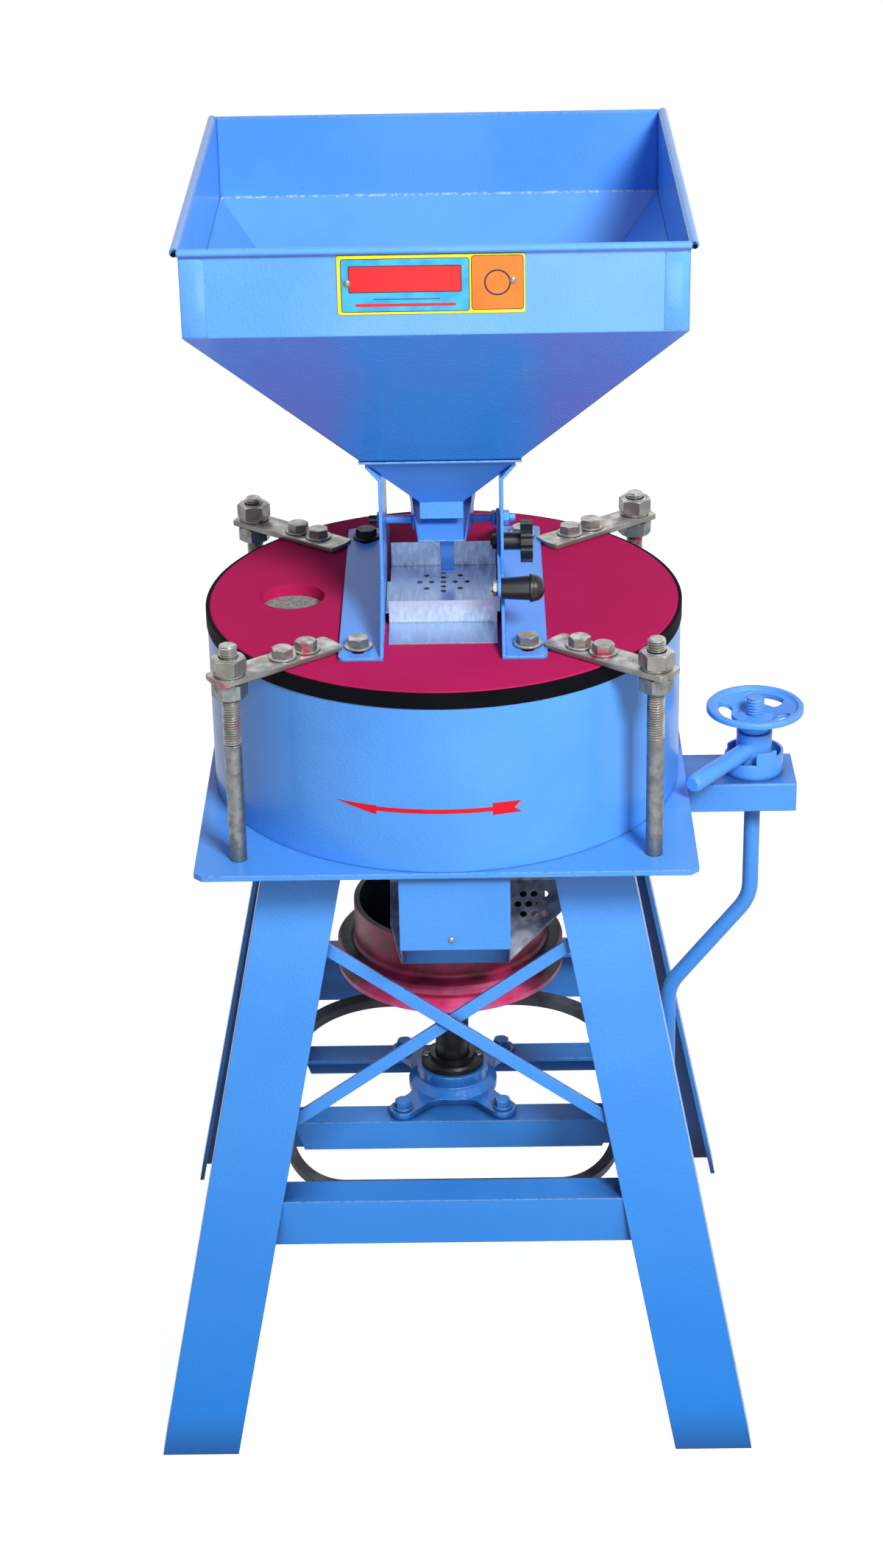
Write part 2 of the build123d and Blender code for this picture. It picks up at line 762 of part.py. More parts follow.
with BuildPart() as bearing_housing:
    with BuildSketch(Plane.XY.offset(side_rail_top)) as casting_outline:
        Circle(housing_body_radius)
        for side in (-1, 1):
            with Locations(Location((0, 0, 0), (0, 0, side * degrees(atan2(housing_bolt_y, housing_bolt_x))))):
                SlotCenterToCenter(2 * hypot(housing_bolt_x, housing_bolt_y), 2 * housing_ear_radius)
        hollows = casting_outline.vertices().filter_by(
            lambda v: abs(v.center().length - housing_body_radius) < 1)
        fillet(hollows, 26)
    extrude(amount=housing_foot)
    with BuildSketch(Plane.XZ):
        with BuildLine():
            Polyline(
                (0, bearing_foot - 10),
                (housing_skirt_radius, bearing_foot - 10),
                (housing_skirt_radius, side_rail_top),
                (housing_body_radius, side_rail_top),
                (housing_body_radius, side_rail_top + housing_foot),
                (housing_boss_radius + 3, side_rail_top + housing_foot + 8),
                (housing_boss_radius, side_rail_top + housing_foot + 10),
                (housing_boss_radius, boss_top),
                (0, boss_top),
                close=True,
            )
        make_face()
    revolve(axis=Axis.Z)
    with BuildSketch(Plane.XY.offset(bearing_foot)):
        Circle(bearing_outer_radius)
    extrude(amount=boss_top - bearing_foot, mode=Mode.SUBTRACT)
    with BuildSketch(Plane.XY.offset(bearing_foot - 10)):
        Circle(bearing_outer_radius - 6)
    extrude(amount=10, mode=Mode.SUBTRACT)
    with BuildSketch(Plane.XY.offset(side_rail_top)):
        with Locations(*housing_bolt_places):
            Circle(housing_hole / 2)
    extrude(amount=housing_foot, mode=Mode.SUBTRACT)
keep("bearing_housing", bearing_housing.part)
keep("housing_bolts", bolts(housing_bolt_places, side_rail_top + housing_foot,
                            housing_foot + side_rail_wall + housing_bolt_end,
                            housing_bolt_diameter, housing_bolt_width, housing_washer))

keep("bearing_outer_race", ring(bearing_outer_radius, bearing_split_radius + bearing_split_gap / 2,
                                bearing_foot, bearing_foot + bearing_height))
keep("bearing_inner_race", ring(bearing_split_radius - bearing_split_gap / 2, spindle_radius,
                                bearing_foot, bearing_foot + bearing_height))

keep("bearing_cap", turned(Plane.XZ, [
    (spindle_radius + 1, boss_top),
    (cap_radius, boss_top),
    (cap_radius, boss_top + cap_height - 3),
    (cap_radius - 3, boss_top + cap_height),
    (cap_step_radius, boss_top + cap_height),
    (cap_step_radius, boss_top + cap_height + cap_step_height),
    (spindle_radius + 1, boss_top + cap_height + cap_step_height),
]))

# --- Rotor: spindle, pulley, carrier, sweepers and runner stone -------------------------------------------
spindle_top = runner_bottom + carrier_boss_height + spindle_stand
keep("spindle", turned(Plane.XZ, [
    (0, pivot_end),
    (pivot_diameter / 2 - 2, pivot_end),
    (pivot_diameter / 2, pivot_end + 2),
    (pivot_diameter / 2, spindle_shoulder - 4),
    (spindle_radius, spindle_shoulder),
    (spindle_radius, spindle_top - 3),
    (spindle_radius - 3, spindle_top),
    (0, spindle_top),
]))

pulley_top = pulley_bottom + pulley_height
shoulder = pulley_bottom + pulley_shoulder
groove_low = pulley_bottom + pulley_groove_low
cup_inner = pulley_radius - pulley_wall
with BuildPart() as pulley:
    with BuildSketch(Plane.XZ):
        with BuildLine():
            Line((cup_inner, pulley_top), (pulley_radius, pulley_top))
            Line((pulley_radius, pulley_top), (pulley_radius, shoulder + pulley_shoulder_rise))
            Spline(
                (pulley_radius, shoulder + pulley_shoulder_rise),
                (pulley_shoulder_radius, shoulder),
                tangents=((0, -1), (1, 0)),
            )
            Polyline(
                (pulley_shoulder_radius, shoulder),
                (pulley_flange_radius - pulley_flange_bevel, shoulder),
                (pulley_flange_radius, shoulder - pulley_flange_bevel),
                (pulley_flange_radius, pulley_bottom + pulley_groove_high),
                (pulley_groove_radius, groove_low + pulley_groove_floor),
                (pulley_groove_radius, groove_low),
                (pulley_flange_radius, pulley_bottom + pulley_flange_edge),
                (pulley_flange_radius, pulley_bottom),
                (spindle_radius, pulley_bottom),
                (spindle_radius, pulley_bottom + pulley_hub_height),
                (pulley_hub_radius, pulley_bottom + pulley_hub_height),
                (pulley_hub_radius + pulley_draft, pulley_bottom + pulley_web),
                (cup_inner - pulley_draft, pulley_bottom + pulley_web),
                (cup_inner - pulley_draft, shoulder),
                (cup_inner, pulley_top),
            )
        make_face()
    revolve(axis=Axis.Z)
keep("pulley", pulley.part)

keep("runner_carrier", turned(Plane.XZ, [
    (spindle_radius, carrier_bottom - carrier_hub_height),
    (carrier_hub_radius, carrier_bottom - carrier_hub_height),
    (carrier_hub_radius + 4, carrier_bottom),
    (carrier_radius, carrier_bottom),
    (carrier_radius, runner_bottom),
    (carrier_boss_radius, runner_bottom),
    (carrier_boss_radius - 6, runner_bottom + carrier_boss_height),
    (spindle_radius, runner_bottom + carrier_boss_height),
]))
keep("runner_stone", ring(stone_radius, carrier_boss_radius, runner_bottom, runner_top))

sweeper_foot = floor_level + sweeper_clearance
with BuildPart() as sweepers:
    with BuildSketch(Plane.XY.offset(sweeper_foot)):
        with PolarLocations((sweeper_inner + sweeper_outer) / 2, sweeper_count, start_angle=25):
            Rectangle(sweeper_outer - sweeper_inner, sweeper_thickness)
    extrude(amount=carrier_bottom - sweeper_foot)
keep("sweepers", sweepers.part)

# --- Adjuster bracket, notched collar and release lever --------------------------------------------------------
with BuildPart() as adjuster_bracket:
    with BuildSketch(Plane.YZ.offset(bracket_inner)):
        with Locations((adjuster_y, deck_level - bracket_height / 2)):
            Rectangle(bracket_width, bracket_height)
        with Locations((adjuster_y, deck_level - bracket_wall - bracket_height / 2)):
            Rectangle(bracket_width - 2 * bracket_wall, bracket_height, mode=Mode.SUBTRACT)
    extrude(amount=bracket_outer - bracket_inner)
    with BuildSketch(Plane.YZ.offset(bracket_outer - bracket_wall)):
        with Locations((adjuster_y, deck_level - bracket_height / 2)):
            Rectangle(bracket_width, bracket_height)
    extrude(amount=bracket_wall)
    fillet(adjuster_bracket.edges().filter_by(Axis.X).group_by(Axis.Z)[-1], 3)
    with BuildSketch(Plane.XY.offset(deck_level - bracket_wall)):
        with Locations((adjuster_x, adjuster_y)):
            Circle(rod_bore)
    extrude(amount=bracket_wall, mode=Mode.SUBTRACT)
keep("adjuster_bracket", adjuster_bracket.part)


def collar_sector(start, stop, bottom, top):
    """Part of the collar's wall between two angles."""
    outside = 2 * collar_radius
    middle = (start + stop) / 2
    fan = [(0, 0)] + [(outside * cos(radians(a)), outside * sin(radians(a)))
                      for a in (start, (start + middle) / 2, middle, (middle + stop) / 2, stop)]
    with BuildPart() as sector:
        with BuildSketch(Plane((adjuster_x, adjuster_y, bottom))):
            with BuildLine():
                Polyline(*fan, close=True)
            make_face()
            Circle(collar_radius, mode=Mode.INTERSECT)
            Circle(collar_radius - collar_wall, mode=Mode.SUBTRACT)
        extrude(amount=top - bottom)
    return sector.part


with BuildPart() as notched_collar:
    with BuildSketch(Plane((adjuster_x, adjuster_y, deck_level))):
        Circle(collar_radius)
        Circle(collar_radius - collar_wall, mode=Mode.SUBTRACT)
    extrude(amount=collar_low)
    add(collar_sector(*collar_tab, deck_level + collar_low, deck_level + collar_high))
    add(collar_sector(*collar_ledge, deck_level + collar_low, deck_level + collar_middle))
keep("notched_collar", notched_collar.part)

bar_plane = Plane(
    origin=(adjuster_x, adjuster_y, deck_level + release_bar_level),
    z_dir=(cos(radians(release_angle)), sin(radians(release_angle)), 0),
)
with BuildPart() as release_lever:
    with BuildSketch(bar_plane):
        Circle(release_bar_radius)
    extrude(amount=release_bar_reach)
    chamfer(release_lever.edges().sort_by(Axis((0, 0, 0), bar_plane.z_dir))[-1], 3)
    with BuildSketch(Plane((adjuster_x, adjuster_y, release_hub_foot))):
        Circle(release_hub_radius)
    extrude(amount=release_hub_height)
    with BuildSketch(Plane((adjuster_x, adjuster_y, release_hub_foot))):
        Circle(rod_bore)
    extrude(amount=release_hub_height, mode=Mode.SUBTRACT)
keep("release_lever", release_lever.part)

# --- Handwheel: a dished casting with three windows ------------------------------------------------------------
rim_top = release_hub_top + wheel_top
rim_inner = wheel_radius - wheel_rim_width
web_low = rim_top - wheel_rim_height - wheel_dish
wheel_axis = Axis((adjuster_x, adjuster_y, 0), (0, 0, 1))
window_arc = CenterArc((0, 0), wheel_window_radius, wheel_window_start, wheel_window_span)
wheel_plane = Plane((adjuster_x, adjuster_y, 0), x_dir=(1, 0, 0), z_dir=(0, -1, 0))
with BuildPart() as handwheel:
    add(turned(wheel_plane, [
        (rod_radius + running_gap, wheel_foot),
        (wheel_boss_foot, wheel_foot),
        (wheel_hub_radius, web_low - 2 * wheel_web),
        (wheel_hub_radius + 3, web_low - wheel_web),
        (rim_inner, rim_top - wheel_rim_height - wheel_web / 2),
        (rim_inner + 2, rim_top - wheel_rim_height),
        (wheel_radius, rim_top - wheel_rim_height),
        (wheel_radius, rim_top - 2),
        (wheel_radius - 2, rim_top),
        (rim_inner, rim_top),
        (rim_inner - 3, rim_top - wheel_rim_height / 2),
        (wheel_hub_radius, web_low),
        (rod_radius + running_gap, web_low + 3),
    ], wheel_axis))
    with BuildSketch(Plane((adjuster_x, adjuster_y, web_low - 2 * wheel_web))):
        for window in range(3):
            SlotArc(window_arc, wheel_window_width, rotation=120 * window)
    extrude(amount=wheel_top, mode=Mode.SUBTRACT)
keep("handwheel", handwheel.part)

# --- Adjusting rod: its threaded top carries the wheel, its foot holds the beam -----------------------------------
with BuildPart() as adjusting_rod:
    with BuildLine():
        FilletPolyline(
            (adjuster_x, adjuster_y, rod_top),
            (adjuster_x, adjuster_y, rod_upper_bend),
            (rod_foot_x, adjuster_y, rod_lower_bend),
            (rod_foot_x, adjuster_y, rod_foot),
            radius=rod_bend_radius,
        )
    with BuildSketch(Plane((adjuster_x, adjuster_y, rod_top), z_dir=(0, 0, -1))):
        Circle(rod_radius)
    sweep()
    for bottom in (beam_top + rod_nut_gap, beam_top - beam_height - rod_nut_gap - rod_nut_height):
        with BuildSketch(Plane((rod_foot_x, adjuster_y, bottom))):
            RegularPolygon(rod_nut_width / 2, 6, major_radius=False, rotation=30)
        extrude(amount=rod_nut_height)
keep("adjusting_rod", adjusting_rod.part)

# --- Tentering beam, its pivot and the footstep cup ------------------------------------------------------------------
beam_left = beam_pivot_x - beam_tail
beam_right = rod_foot_x + beam_nose
beam_middle_z = beam_top - beam_height / 2
with BuildPart() as tentering_beam:
    with BuildSketch(Plane.XZ.offset(-adjuster_y - beam_width / 2)):
        with Locations(((beam_left + beam_right) / 2, beam_middle_z)):
            RectangleRounded(beam_right - beam_left, beam_height, beam_height / 3)
        with Locations((beam_pivot_x, beam_middle_z)):
            Circle(beam_pin_radius + beam_pin_gap, mode=Mode.SUBTRACT)
    extrude(amount=beam_width)
    with BuildSketch(Plane((rod_foot_x, adjuster_y, beam_top - beam_height))):
        SlotCenterToCenter(2, 2 * beam_rod_hole)
    extrude(amount=beam_height, mode=Mode.SUBTRACT)
keep("tentering_beam", tentering_beam.part)

cheek_inner = beam_width / 2 + beam_side_gap
cheek_outside = side_rail_outside - side_rail_wall
with BuildPart() as beam_pivot_bracket:
    for side in (-1, 1):
        near = adjuster_y + side * cheek_inner
        with BuildSketch(Plane.XZ.offset(-near)):
            with BuildLine():
                Polyline(
                    (-cheek_outside, side_rail_top - side_rail_wall),
                    (-cheek_outside + cheek_width, side_rail_top - side_rail_wall),
                    (-cheek_outside + cheek_width, cheek_foot),
                    (-cheek_outside, cheek_foot),
                    close=True,
                )
            make_face()
            with Locations((beam_pivot_x, beam_middle_z)):
                Circle(beam_pin_radius, mode=Mode.SUBTRACT)
        extrude(amount=-side * cheek_thickness)
keep("beam_pivot_bracket", beam_pivot_bracket.part)

pin_half = cheek_inner + cheek_thickness + 3
with BuildPart() as beam_pivot_pin:
    with BuildSketch(Plane.XZ.offset(-adjuster_y - pin_half)):
        with Locations((beam_pivot_x, beam_middle_z)):
            Circle(beam_pin_radius)
    extrude(amount=2 * pin_half)
keep("beam_pivot_pin", beam_pivot_pin.part)

cup_foot = beam_top + part_gap
with BuildPart() as footstep_cup:
    with BuildSketch(Plane.XY.offset(cup_foot)):
        Circle(cup_radius)
    extrude(amount=cup_height)
    chamfer(footstep_cup.edges().group_by(Axis.Z)[0], 3)
    with BuildSketch(Plane.XY.offset(pivot_end - 0.1)):
        Circle(pivot_diameter / 2 + running_gap)
    extrude(amount=cup_height, mode=Mode.SUBTRACT)
keep("footstep_cup", footstep_cup.part)


# --- Hopper: bin, cone, throat -------------------------------------------------------------------------------------------
def cone_half(level):
    """Half width and half depth of the cone's outside at a level."""
    share = (level - throat_top) / (bin_fold - throat_top)
    return (throat_half_x + share * (bin_half_x - throat_half_x),
            throat_half_y + share * (bin_half_y - throat_half_y))


def cone_shell(low, high):
    """The hollow cone between two levels."""
    with BuildPart() as shell:
        for inset, mode in ((0, Mode.ADD), (cone_sheet, Mode.SUBTRACT)):
            faces = []
            for level in (low, high):
                half_x, half_y = cone_half(level)
                with BuildSketch(Plane.XY.offset(level)) as end:
                    Rectangle(2 * (half_x - inset), 2 * (half_y - inset))
                faces.append(end.sketch)
            loft(faces, mode=mode)
    return shell.part


with BuildPart() as hopper_bin:
    add(cone_shell(seam_level, bin_fold))
    with BuildSketch(Plane.XY.offset(bin_fold)):
        Rectangle(2 * bin_half_x, 2 * bin_half_y)
        Rectangle(2 * (bin_half_x - sheet), 2 * (bin_half_y - sheet), mode=Mode.SUBTRACT)
    extrude(amount=bin_top - bin_fold)
keep("hopper_bin", hopper_bin.part)

# The rim is rolled outwards from the wall's top edge, as a bead that hugs the
# wall.  The side beads end at the front corners as open tubes.
rim_x = bin_half_x + rim_side_radius - rim_bite
rim_y = bin_half_y + rim_radius - rim_bite
rim_level = bin_top - rim_radius + rim_bite
side_rim_front = -bin_half_y - rim_lap
side_rim_rear = rim_y + rim_radius
with BuildPart() as hopper_rim:
    add(rod_along_x(-rim_y, rim_level, rim_radius, -bin_half_x - rim_lap, bin_half_x + rim_lap))
    add(rod_along_x(rim_y, rim_level, rim_radius, -rim_x, rim_x))
    for side in (-1, 1):
        with BuildSketch(Plane.XZ.offset(-side_rim_rear)):
            with Locations((side * rim_x, rim_level)):
                Circle(rim_side_radius)
        extrude(amount=side_rim_rear - side_rim_front)
        with BuildSketch(Plane.XZ.offset(-side_rim_front)):
            with Locations((side * rim_x, rim_level)):
                Circle(rim_curl)
        extrude(amount=-rim_curl_depth, mode=Mode.SUBTRACT)
    with BuildSketch(Plane.XY.offset(rim_level - 2 * rim_radius)):
        Rectangle(2 * bin_half_x, 2 * bin_half_y)
    extrude(amount=4 * rim_radius, mode=Mode.SUBTRACT)
keep("hopper_rim", hopper_rim.part)

seam_half_x, seam_half_y = cone_half(seam_level)
with BuildPart() as hopper_cone:
    add(cone_shell(throat_top, seam_level))
    with BuildSketch(Plane.XY.offset(seam_level - seam_thickness)):
        Rectangle(2 * (seam_half_x + seam_flange), 2 * (seam_half_y + seam_flange))
        inner_x, inner_y = cone_half(seam_level - seam_thickness)
        Rectangle(2 * (inner_x - 0.5), 2 * (inner_y - 0.5), mode=Mode.SUBTRACT)
    extrude(amount=seam_thickness)
    with BuildSketch(Plane.XY.offset(throat_foot)):
        Rectangle(2 * throat_half_x, 2 * throat_half_y)
        Rectangle(2 * (throat_half_x - sheet), 2 * (throat_half_y - sheet), mode=Mode.SUBTRACT)
    extrude(amount=throat_top - throat_foot)
keep("hopper_cone", hopper_cone.part)

with BuildPart() as name_plate:
    with BuildSketch(Plane.XZ.offset(bin_half_y)):
        with Locations((plate_x, bin_top - plate_drop - plate_height / 2)):
            RectangleRounded(plate_width, plate_height, 3)
    extrude(amount=plate_thickness)
keep("name_plate", name_plate.part)

# --- Hopper brackets ---------------------------------------------------------------------------------------------------------
# In cross-section a bracket is a foot, an upright and a strip folded out so
# that it lies on the cone's side.
cone_run = (bin_half_x - throat_half_x) / (bin_fold - throat_top)
meet_z = throat_top + (upright_face - throat_half_x) / cone_run
grip_x = upright_grip * sin(atan2(cone_run, 1))
grip_z = upright_grip * cos(atan2(cone_run, 1))
fold_turn = atan2(cone_run, 1)
outer_fold_z = meet_z - upright_plate * (1 - cos(fold_turn)) / sin(fold_turn)
lever_y = pivot_y - handle_y
lever_z = pivot_z - handle_z
knob_z = pivot_z - lever_z * (pivot_y - knob_y) / lever_y
knob_swing = hypot(pivot_y - knob_y, pivot_z - knob_z)
knob_angle = 180 + degrees(atan2(lever_z, lever_y))
knob_arc = CenterArc((pivot_y, pivot_z), knob_swing, knob_angle - feed_swing[1],
                     feed_swing[1] - feed_swing[0])


upright_outline = [
    (-foot_front, lid_top),
    (-foot_front, lid_top + upright_toe),
    (-upright_half, lid_top + upright_shoulder),
    (-upright_half, meet_z + upright_grip),
    (upright_half, meet_z + upright_grip),
    (upright_half, lid_top + upright_shoulder),
    (foot_rear, lid_top + upright_toe),
    (foot_rear, lid_top),
]


def hopper_bracket(side, slotted):
    """One bracket; the slotted one takes the lock knob's stud."""
    with BuildPart() as bracket:
        with BuildSketch(Plane.XZ.offset(-foot_rear)):
            with BuildLine():
                Polyline(
                    (side * upright_face, lid_top),
                    (side * (upright_face + foot_width), lid_top),
                    (side * (upright_face + foot_width), lid_top + upright_plate),
                    (side * upright_outer, lid_top + upright_plate),
                    (side * upright_outer, outer_fold_z),
                    (side * (upright_face + grip_x + upright_plate * cos(fold_turn)),
                     meet_z + grip_z - upright_plate * sin(fold_turn)),
                    (side * (upright_face + grip_x), meet_z + grip_z),
                    (side * upright_face, meet_z),
                    close=True,
                )
            make_face()
        extrude(amount=foot_front + foot_rear)
        add(prism(Plane.YZ, upright_outline, -upright_face - foot_width, upright_face + foot_width),
            mode=Mode.INTERSECT)
        outer_corners = bracket.edges().filter_by(Axis.Z).group_by(Axis((0, 0, 0), (side, 0, 0)))[-1]
        fillet(outer_corners, foot_corner)
        with BuildSketch(Plane.XY.offset(lid_top)):
            for y in foot_bolt_y:
                with Locations(Location((side * foot_bolt_x, y - foot_slot_length / 2, 0), (0, 0, 90))):
                    SlotCenterToCenter(foot_slot_length, bolt_hole)
        extrude(amount=upright_plate, mode=Mode.SUBTRACT)
        with BuildSketch(Plane.YZ.offset(side * upright_face)):
            with Locations((pivot_y, pivot_z)):
                Circle(pivot_radius + pivot_gap)
            if slotted:
                SlotArc(knob_arc, 2 * knob_stud_radius + knob_slot_play)
        extrude(amount=side * upright_plate, mode=Mode.SUBTRACT)
    return bracket.part


keep("left_hopper_bracket", hopper_bracket(-1, slotted=False))
keep("right_hopper_bracket", hopper_bracket(1, slotted=True))
keep("bracket_bolts", bolts(foot_bolts, lid_top + upright_plate, upright_plate + bolt_depth))

# --- Perforated feed tray ----------------------------------------------------------------------------------------------------------
tray_level = lid_top + tray_floor
with BuildPart() as feed_tray:
    with BuildSketch(Plane.YZ):
        with BuildLine():
            Polyline(
                (-apron_front, lid_top),
                (-tray_front + tray_sheet, lid_top),
                (-tray_front + tray_sheet, tray_level - tray_sheet),
                (tray_rear - tray_sheet, tray_level - tray_sheet),
                (tray_rear - tray_sheet, lid_top),
                (tray_rear, lid_top),
                (tray_rear, lid_top + tray_back),
                (tray_rear - tray_sheet, lid_top + tray_back),
                (tray_rear - tray_sheet, tray_level),
                (-tray_front + tray_sheet, tray_level),
                (-tray_front + tray_sheet, lid_top + tray_lip),
                (-tray_front, lid_top + tray_lip),
                (-tray_front, lid_top + apron_thickness),
                (-apron_front, lid_top + apron_thickness / 2),
                close=True,
            )
        make_face()
    extrude(amount=tray_half, both=True)
    with BuildSketch(Plane.XY.offset(tray_level)):
        for ring_number, count in enumerate(tray_ring_counts):
            with Locations((0, tray_rings_y)):
                with PolarLocations(tray_ring_pitch * ring_number, count):
                    Circle(tray_hole / 2)
    extrude(amount=-tray_sheet, mode=Mode.SUBTRACT)
keep("feed_tray", feed_tray.part)

# --- Feed chute: a tapering open tray under the throat ---------------------------------------------------------------------------------
chute_plan = [
    (-chute_front_half, chute_front_y), (chute_front_half, chute_front_y),
    (chute_rear_half, chute_rear_y), (-chute_rear_half, chute_rear_y),
]
chute_inner_plan = [
    (-chute_front_half + chute_sheet, chute_front_y - 1), (chute_front_half - chute_sheet, chute_front_y - 1),
    (chute_rear_half - chute_sheet, chute_rear_y - chute_sheet),
    (-chute_rear_half + chute_sheet, chute_rear_y - chute_sheet),
]
floor_fall = (chute_rear_z - chute_front_z) / (chute_rear_y - chute_front_y)
lug_foot = pivot_z - lug_radius


def chute_floor(y):
    """Level of the chute's floor, on top, at a distance from the axis."""
    return chute_front_z + floor_fall * (y - chute_front_y)


chute_side = [
    (chute_front_y, chute_front_z - chute_sheet),
    (pivot_y - 2 * lug_radius, chute_floor(pivot_y - 2 * lug_radius) - chute_sheet),
    (pivot_y - lug_radius, lug_foot),
    (pivot_y + lug_radius, lug_foot),
    (pivot_y + 2 * lug_radius, chute_floor(pivot_y + 2 * lug_radius) - chute_sheet),
    (chute_rear_y, chute_rear_z - chute_sheet),
    (chute_rear_y, chute_wall_top),
    (pivot_y, chute_wall_top),
    (chute_front_y, chute_front_z + 2),
]
chute_floor_side = [
    (chute_front_y, chute_front_z - chute_sheet),
    (chute_rear_y, chute_rear_z - chute_sheet),
    (chute_rear_y, chute_rear_z),
    (chute_front_y, chute_front_z),
]
with BuildPart() as feed_chute:
    add(prism(Plane.XY, chute_plan, lug_foot, chute_wall_top))
    add(prism(Plane.XY, chute_inner_plan, lug_foot, chute_wall_top), mode=Mode.SUBTRACT)
    add(prism(Plane.YZ, chute_side, -chute_rear_half, chute_rear_half), mode=Mode.INTERSECT)
    add(prism(Plane.YZ, chute_floor_side, -chute_rear_half, chute_rear_half)
        & prism(Plane.XY, chute_plan, lug_foot, chute_wall_top))
    add(rod_along_x(pivot_y, pivot_z, pivot_radius, -chute_rear_half, chute_rear_half),
        mode=Mode.SUBTRACT)
keep("feed_chute", feed_chute.part)

above_chute = [
    (chute_front_y, chute_front_z - chute_sheet),
    (chute_rear_y, chute_rear_z - chute_sheet),
    (chute_rear_y, chute_wall_top),
    (chute_front_y, chute_wall_top),
]
tongue_top_z = chute_front_z - chute_sheet + floor_fall * (tongue_top_y - chute_front_y)
tongue_span = Vector(tongue_foot_y - tongue_top_y, tongue_foot_z - tongue_top_z)
tongue_bulge = Vector(tongue_top_y, tongue_top_z) + tongue_span / 2 + Vector(
    tongue_span.Y, -tongue_span.X).normalized() * tongue_sag
with BuildPart() as feed_tongue:
    with BuildSketch(Plane.YZ.offset(tongue_x - tongue_width / 2)):
        with BuildLine():
            ThreePointArc(
                (tongue_top_y, tongue_top_z),
                (tongue_bulge.X, tongue_bulge.Y),
                (tongue_foot_y, tongue_foot_z),
            )
            offset(amount=sheet, side=Side.LEFT)
        make_face()
        with Locations((tongue_foot_y, tongue_foot_z)):
            Circle(tongue_roll)
    extrude(amount=tongue_width)
    add(prism(Plane.YZ, above_chute, -chute_rear_half, chute_rear_half), mode=Mode.SUBTRACT)
keep("feed_tongue", feed_tongue.part)


# --- Pivot rod, lever plate, handle and lock knob ------------------------------------------------------------------------------------
keep("pivot_rod", rod_along_x(pivot_y, pivot_z, pivot_radius, -pivot_half, pivot_half))

lever_outer = upright_face - part_gap
lever_inner = lever_outer - lever_plate
lever_length = hypot(lever_y, lever_z)
with BuildPart() as feed_lever:
    with BuildSketch(Plane.YZ.offset(lever_inner)):
        middle = ((pivot_y + handle_y) / 2, (pivot_z + handle_z) / 2)
        with Locations(Location((*middle, 0), (0, 0, degrees(atan2(lever_z, lever_y))))):
            SlotCenterToCenter(lever_length, lever_width)
        with Locations((pivot_y, pivot_z)):
            Circle(pivot_radius, mode=Mode.SUBTRACT)
        with Locations((knob_y, knob_z), (handle_y, handle_z)):
            Circle(knob_stud_radius, mode=Mode.SUBTRACT)
    extrude(amount=lever_plate)
keep("feed_lever", feed_lever.part)

grip_start = lever_outer
grip_stop = grip_start + handle_length
with BuildPart() as feed_handle:
    with BuildSketch(Plane.XY.offset(handle_z)):
        with BuildLine():
            Polyline(
                (grip_start, handle_y),
                (grip_start, handle_y + handle_radius),
                (grip_stop - handle_end_radius, handle_y + handle_end_radius - 1.5),
                (grip_stop - handle_end_radius, handle_y + handle_end_radius),
            )
            ThreePointArc(
                (grip_stop - handle_end_radius, handle_y + handle_end_radius),
                (grip_stop - handle_end_radius * (1 - sin(pi / 4)),
                 handle_y + handle_end_radius * sin(pi / 4)),
                (grip_stop, handle_y),
            )
            Line((grip_stop, handle_y), (grip_start, handle_y))
        make_face()
    revolve(axis=Axis((0, handle_y, handle_z), (1, 0, 0)))
    with BuildSketch(Plane.YZ.offset(grip_start)):
        with Locations((handle_y, handle_z)):
            Circle(knob_stud_radius)
    extrude(amount=handle_length * 0.6, mode=Mode.SUBTRACT)
keep("feed_handle", feed_handle.part)

knob_start = upright_outer + part_gap
knob_face = knob_start + knob_hub_length
with BuildPart() as lock_knob:
    with BuildSketch(Plane.YZ.offset(knob_start)):
        with Locations((knob_y, knob_z)):
            Circle(knob_hub_radius)
    extrude(amount=knob_hub_length)
    with BuildSketch(Plane.YZ.offset(knob_face)):
        with Locations((knob_y, knob_z)):
            Circle(knob_radius)
            with PolarLocations(knob_radius + knob_flute_radius * 0.4, knob_flutes):
                Circle(knob_flute_radius, mode=Mode.SUBTRACT)
    extrude(amount=knob_width)
    with BuildSketch(Plane.YZ.offset(knob_start)):
        with Locations((knob_y, knob_z)):
            Circle(knob_stud_radius + running_gap)
    extrude(amount=knob_hub_length + knob_width - 3, mode=Mode.SUBTRACT)
keep("lock_knob", lock_knob.part)

# Studs, nuts and heads that hold the feed gear together.
with BuildPart() as feed_fasteners:
    for y, z, reach in ((knob_y, knob_z, knob_face + knob_width - 6),
                        (handle_y, handle_z, grip_start + handle_length * 0.55)):
        add(rod_along_x(y, z, knob_stud_radius, lever_inner, reach))
        with BuildSketch(Plane.YZ.offset(lever_inner - feed_nut_height)):
            with Locations((y, z)):
                RegularPolygon(feed_nut / 2, 6, major_radius=False)
        extrude(amount=feed_nut_height)
    for start in (lever_inner - feed_nut_height, upright_outer + part_gap, -upright_outer - part_gap - feed_nut_height):
        with BuildSketch(Plane.YZ.offset(start)):
            with Locations((pivot_y, pivot_z)):
                RegularPolygon(feed_nut / 2, 6, major_radius=False)
                Circle(pivot_radius, mode=Mode.SUBTRACT)
        extrude(amount=feed_nut_height)
keep("feed_fasteners", feed_fasteners.part)

# --- Spare V-belt --------------------------------------------------------------------------------------------------------------------------
# The rear half lies level on the rails.  In front of the bearing rail both
# sides bend down, and the front loop hangs in a sloping plane.
belt_level = side_rail_top + belt_width / 2
drop = radians(belt_drop)


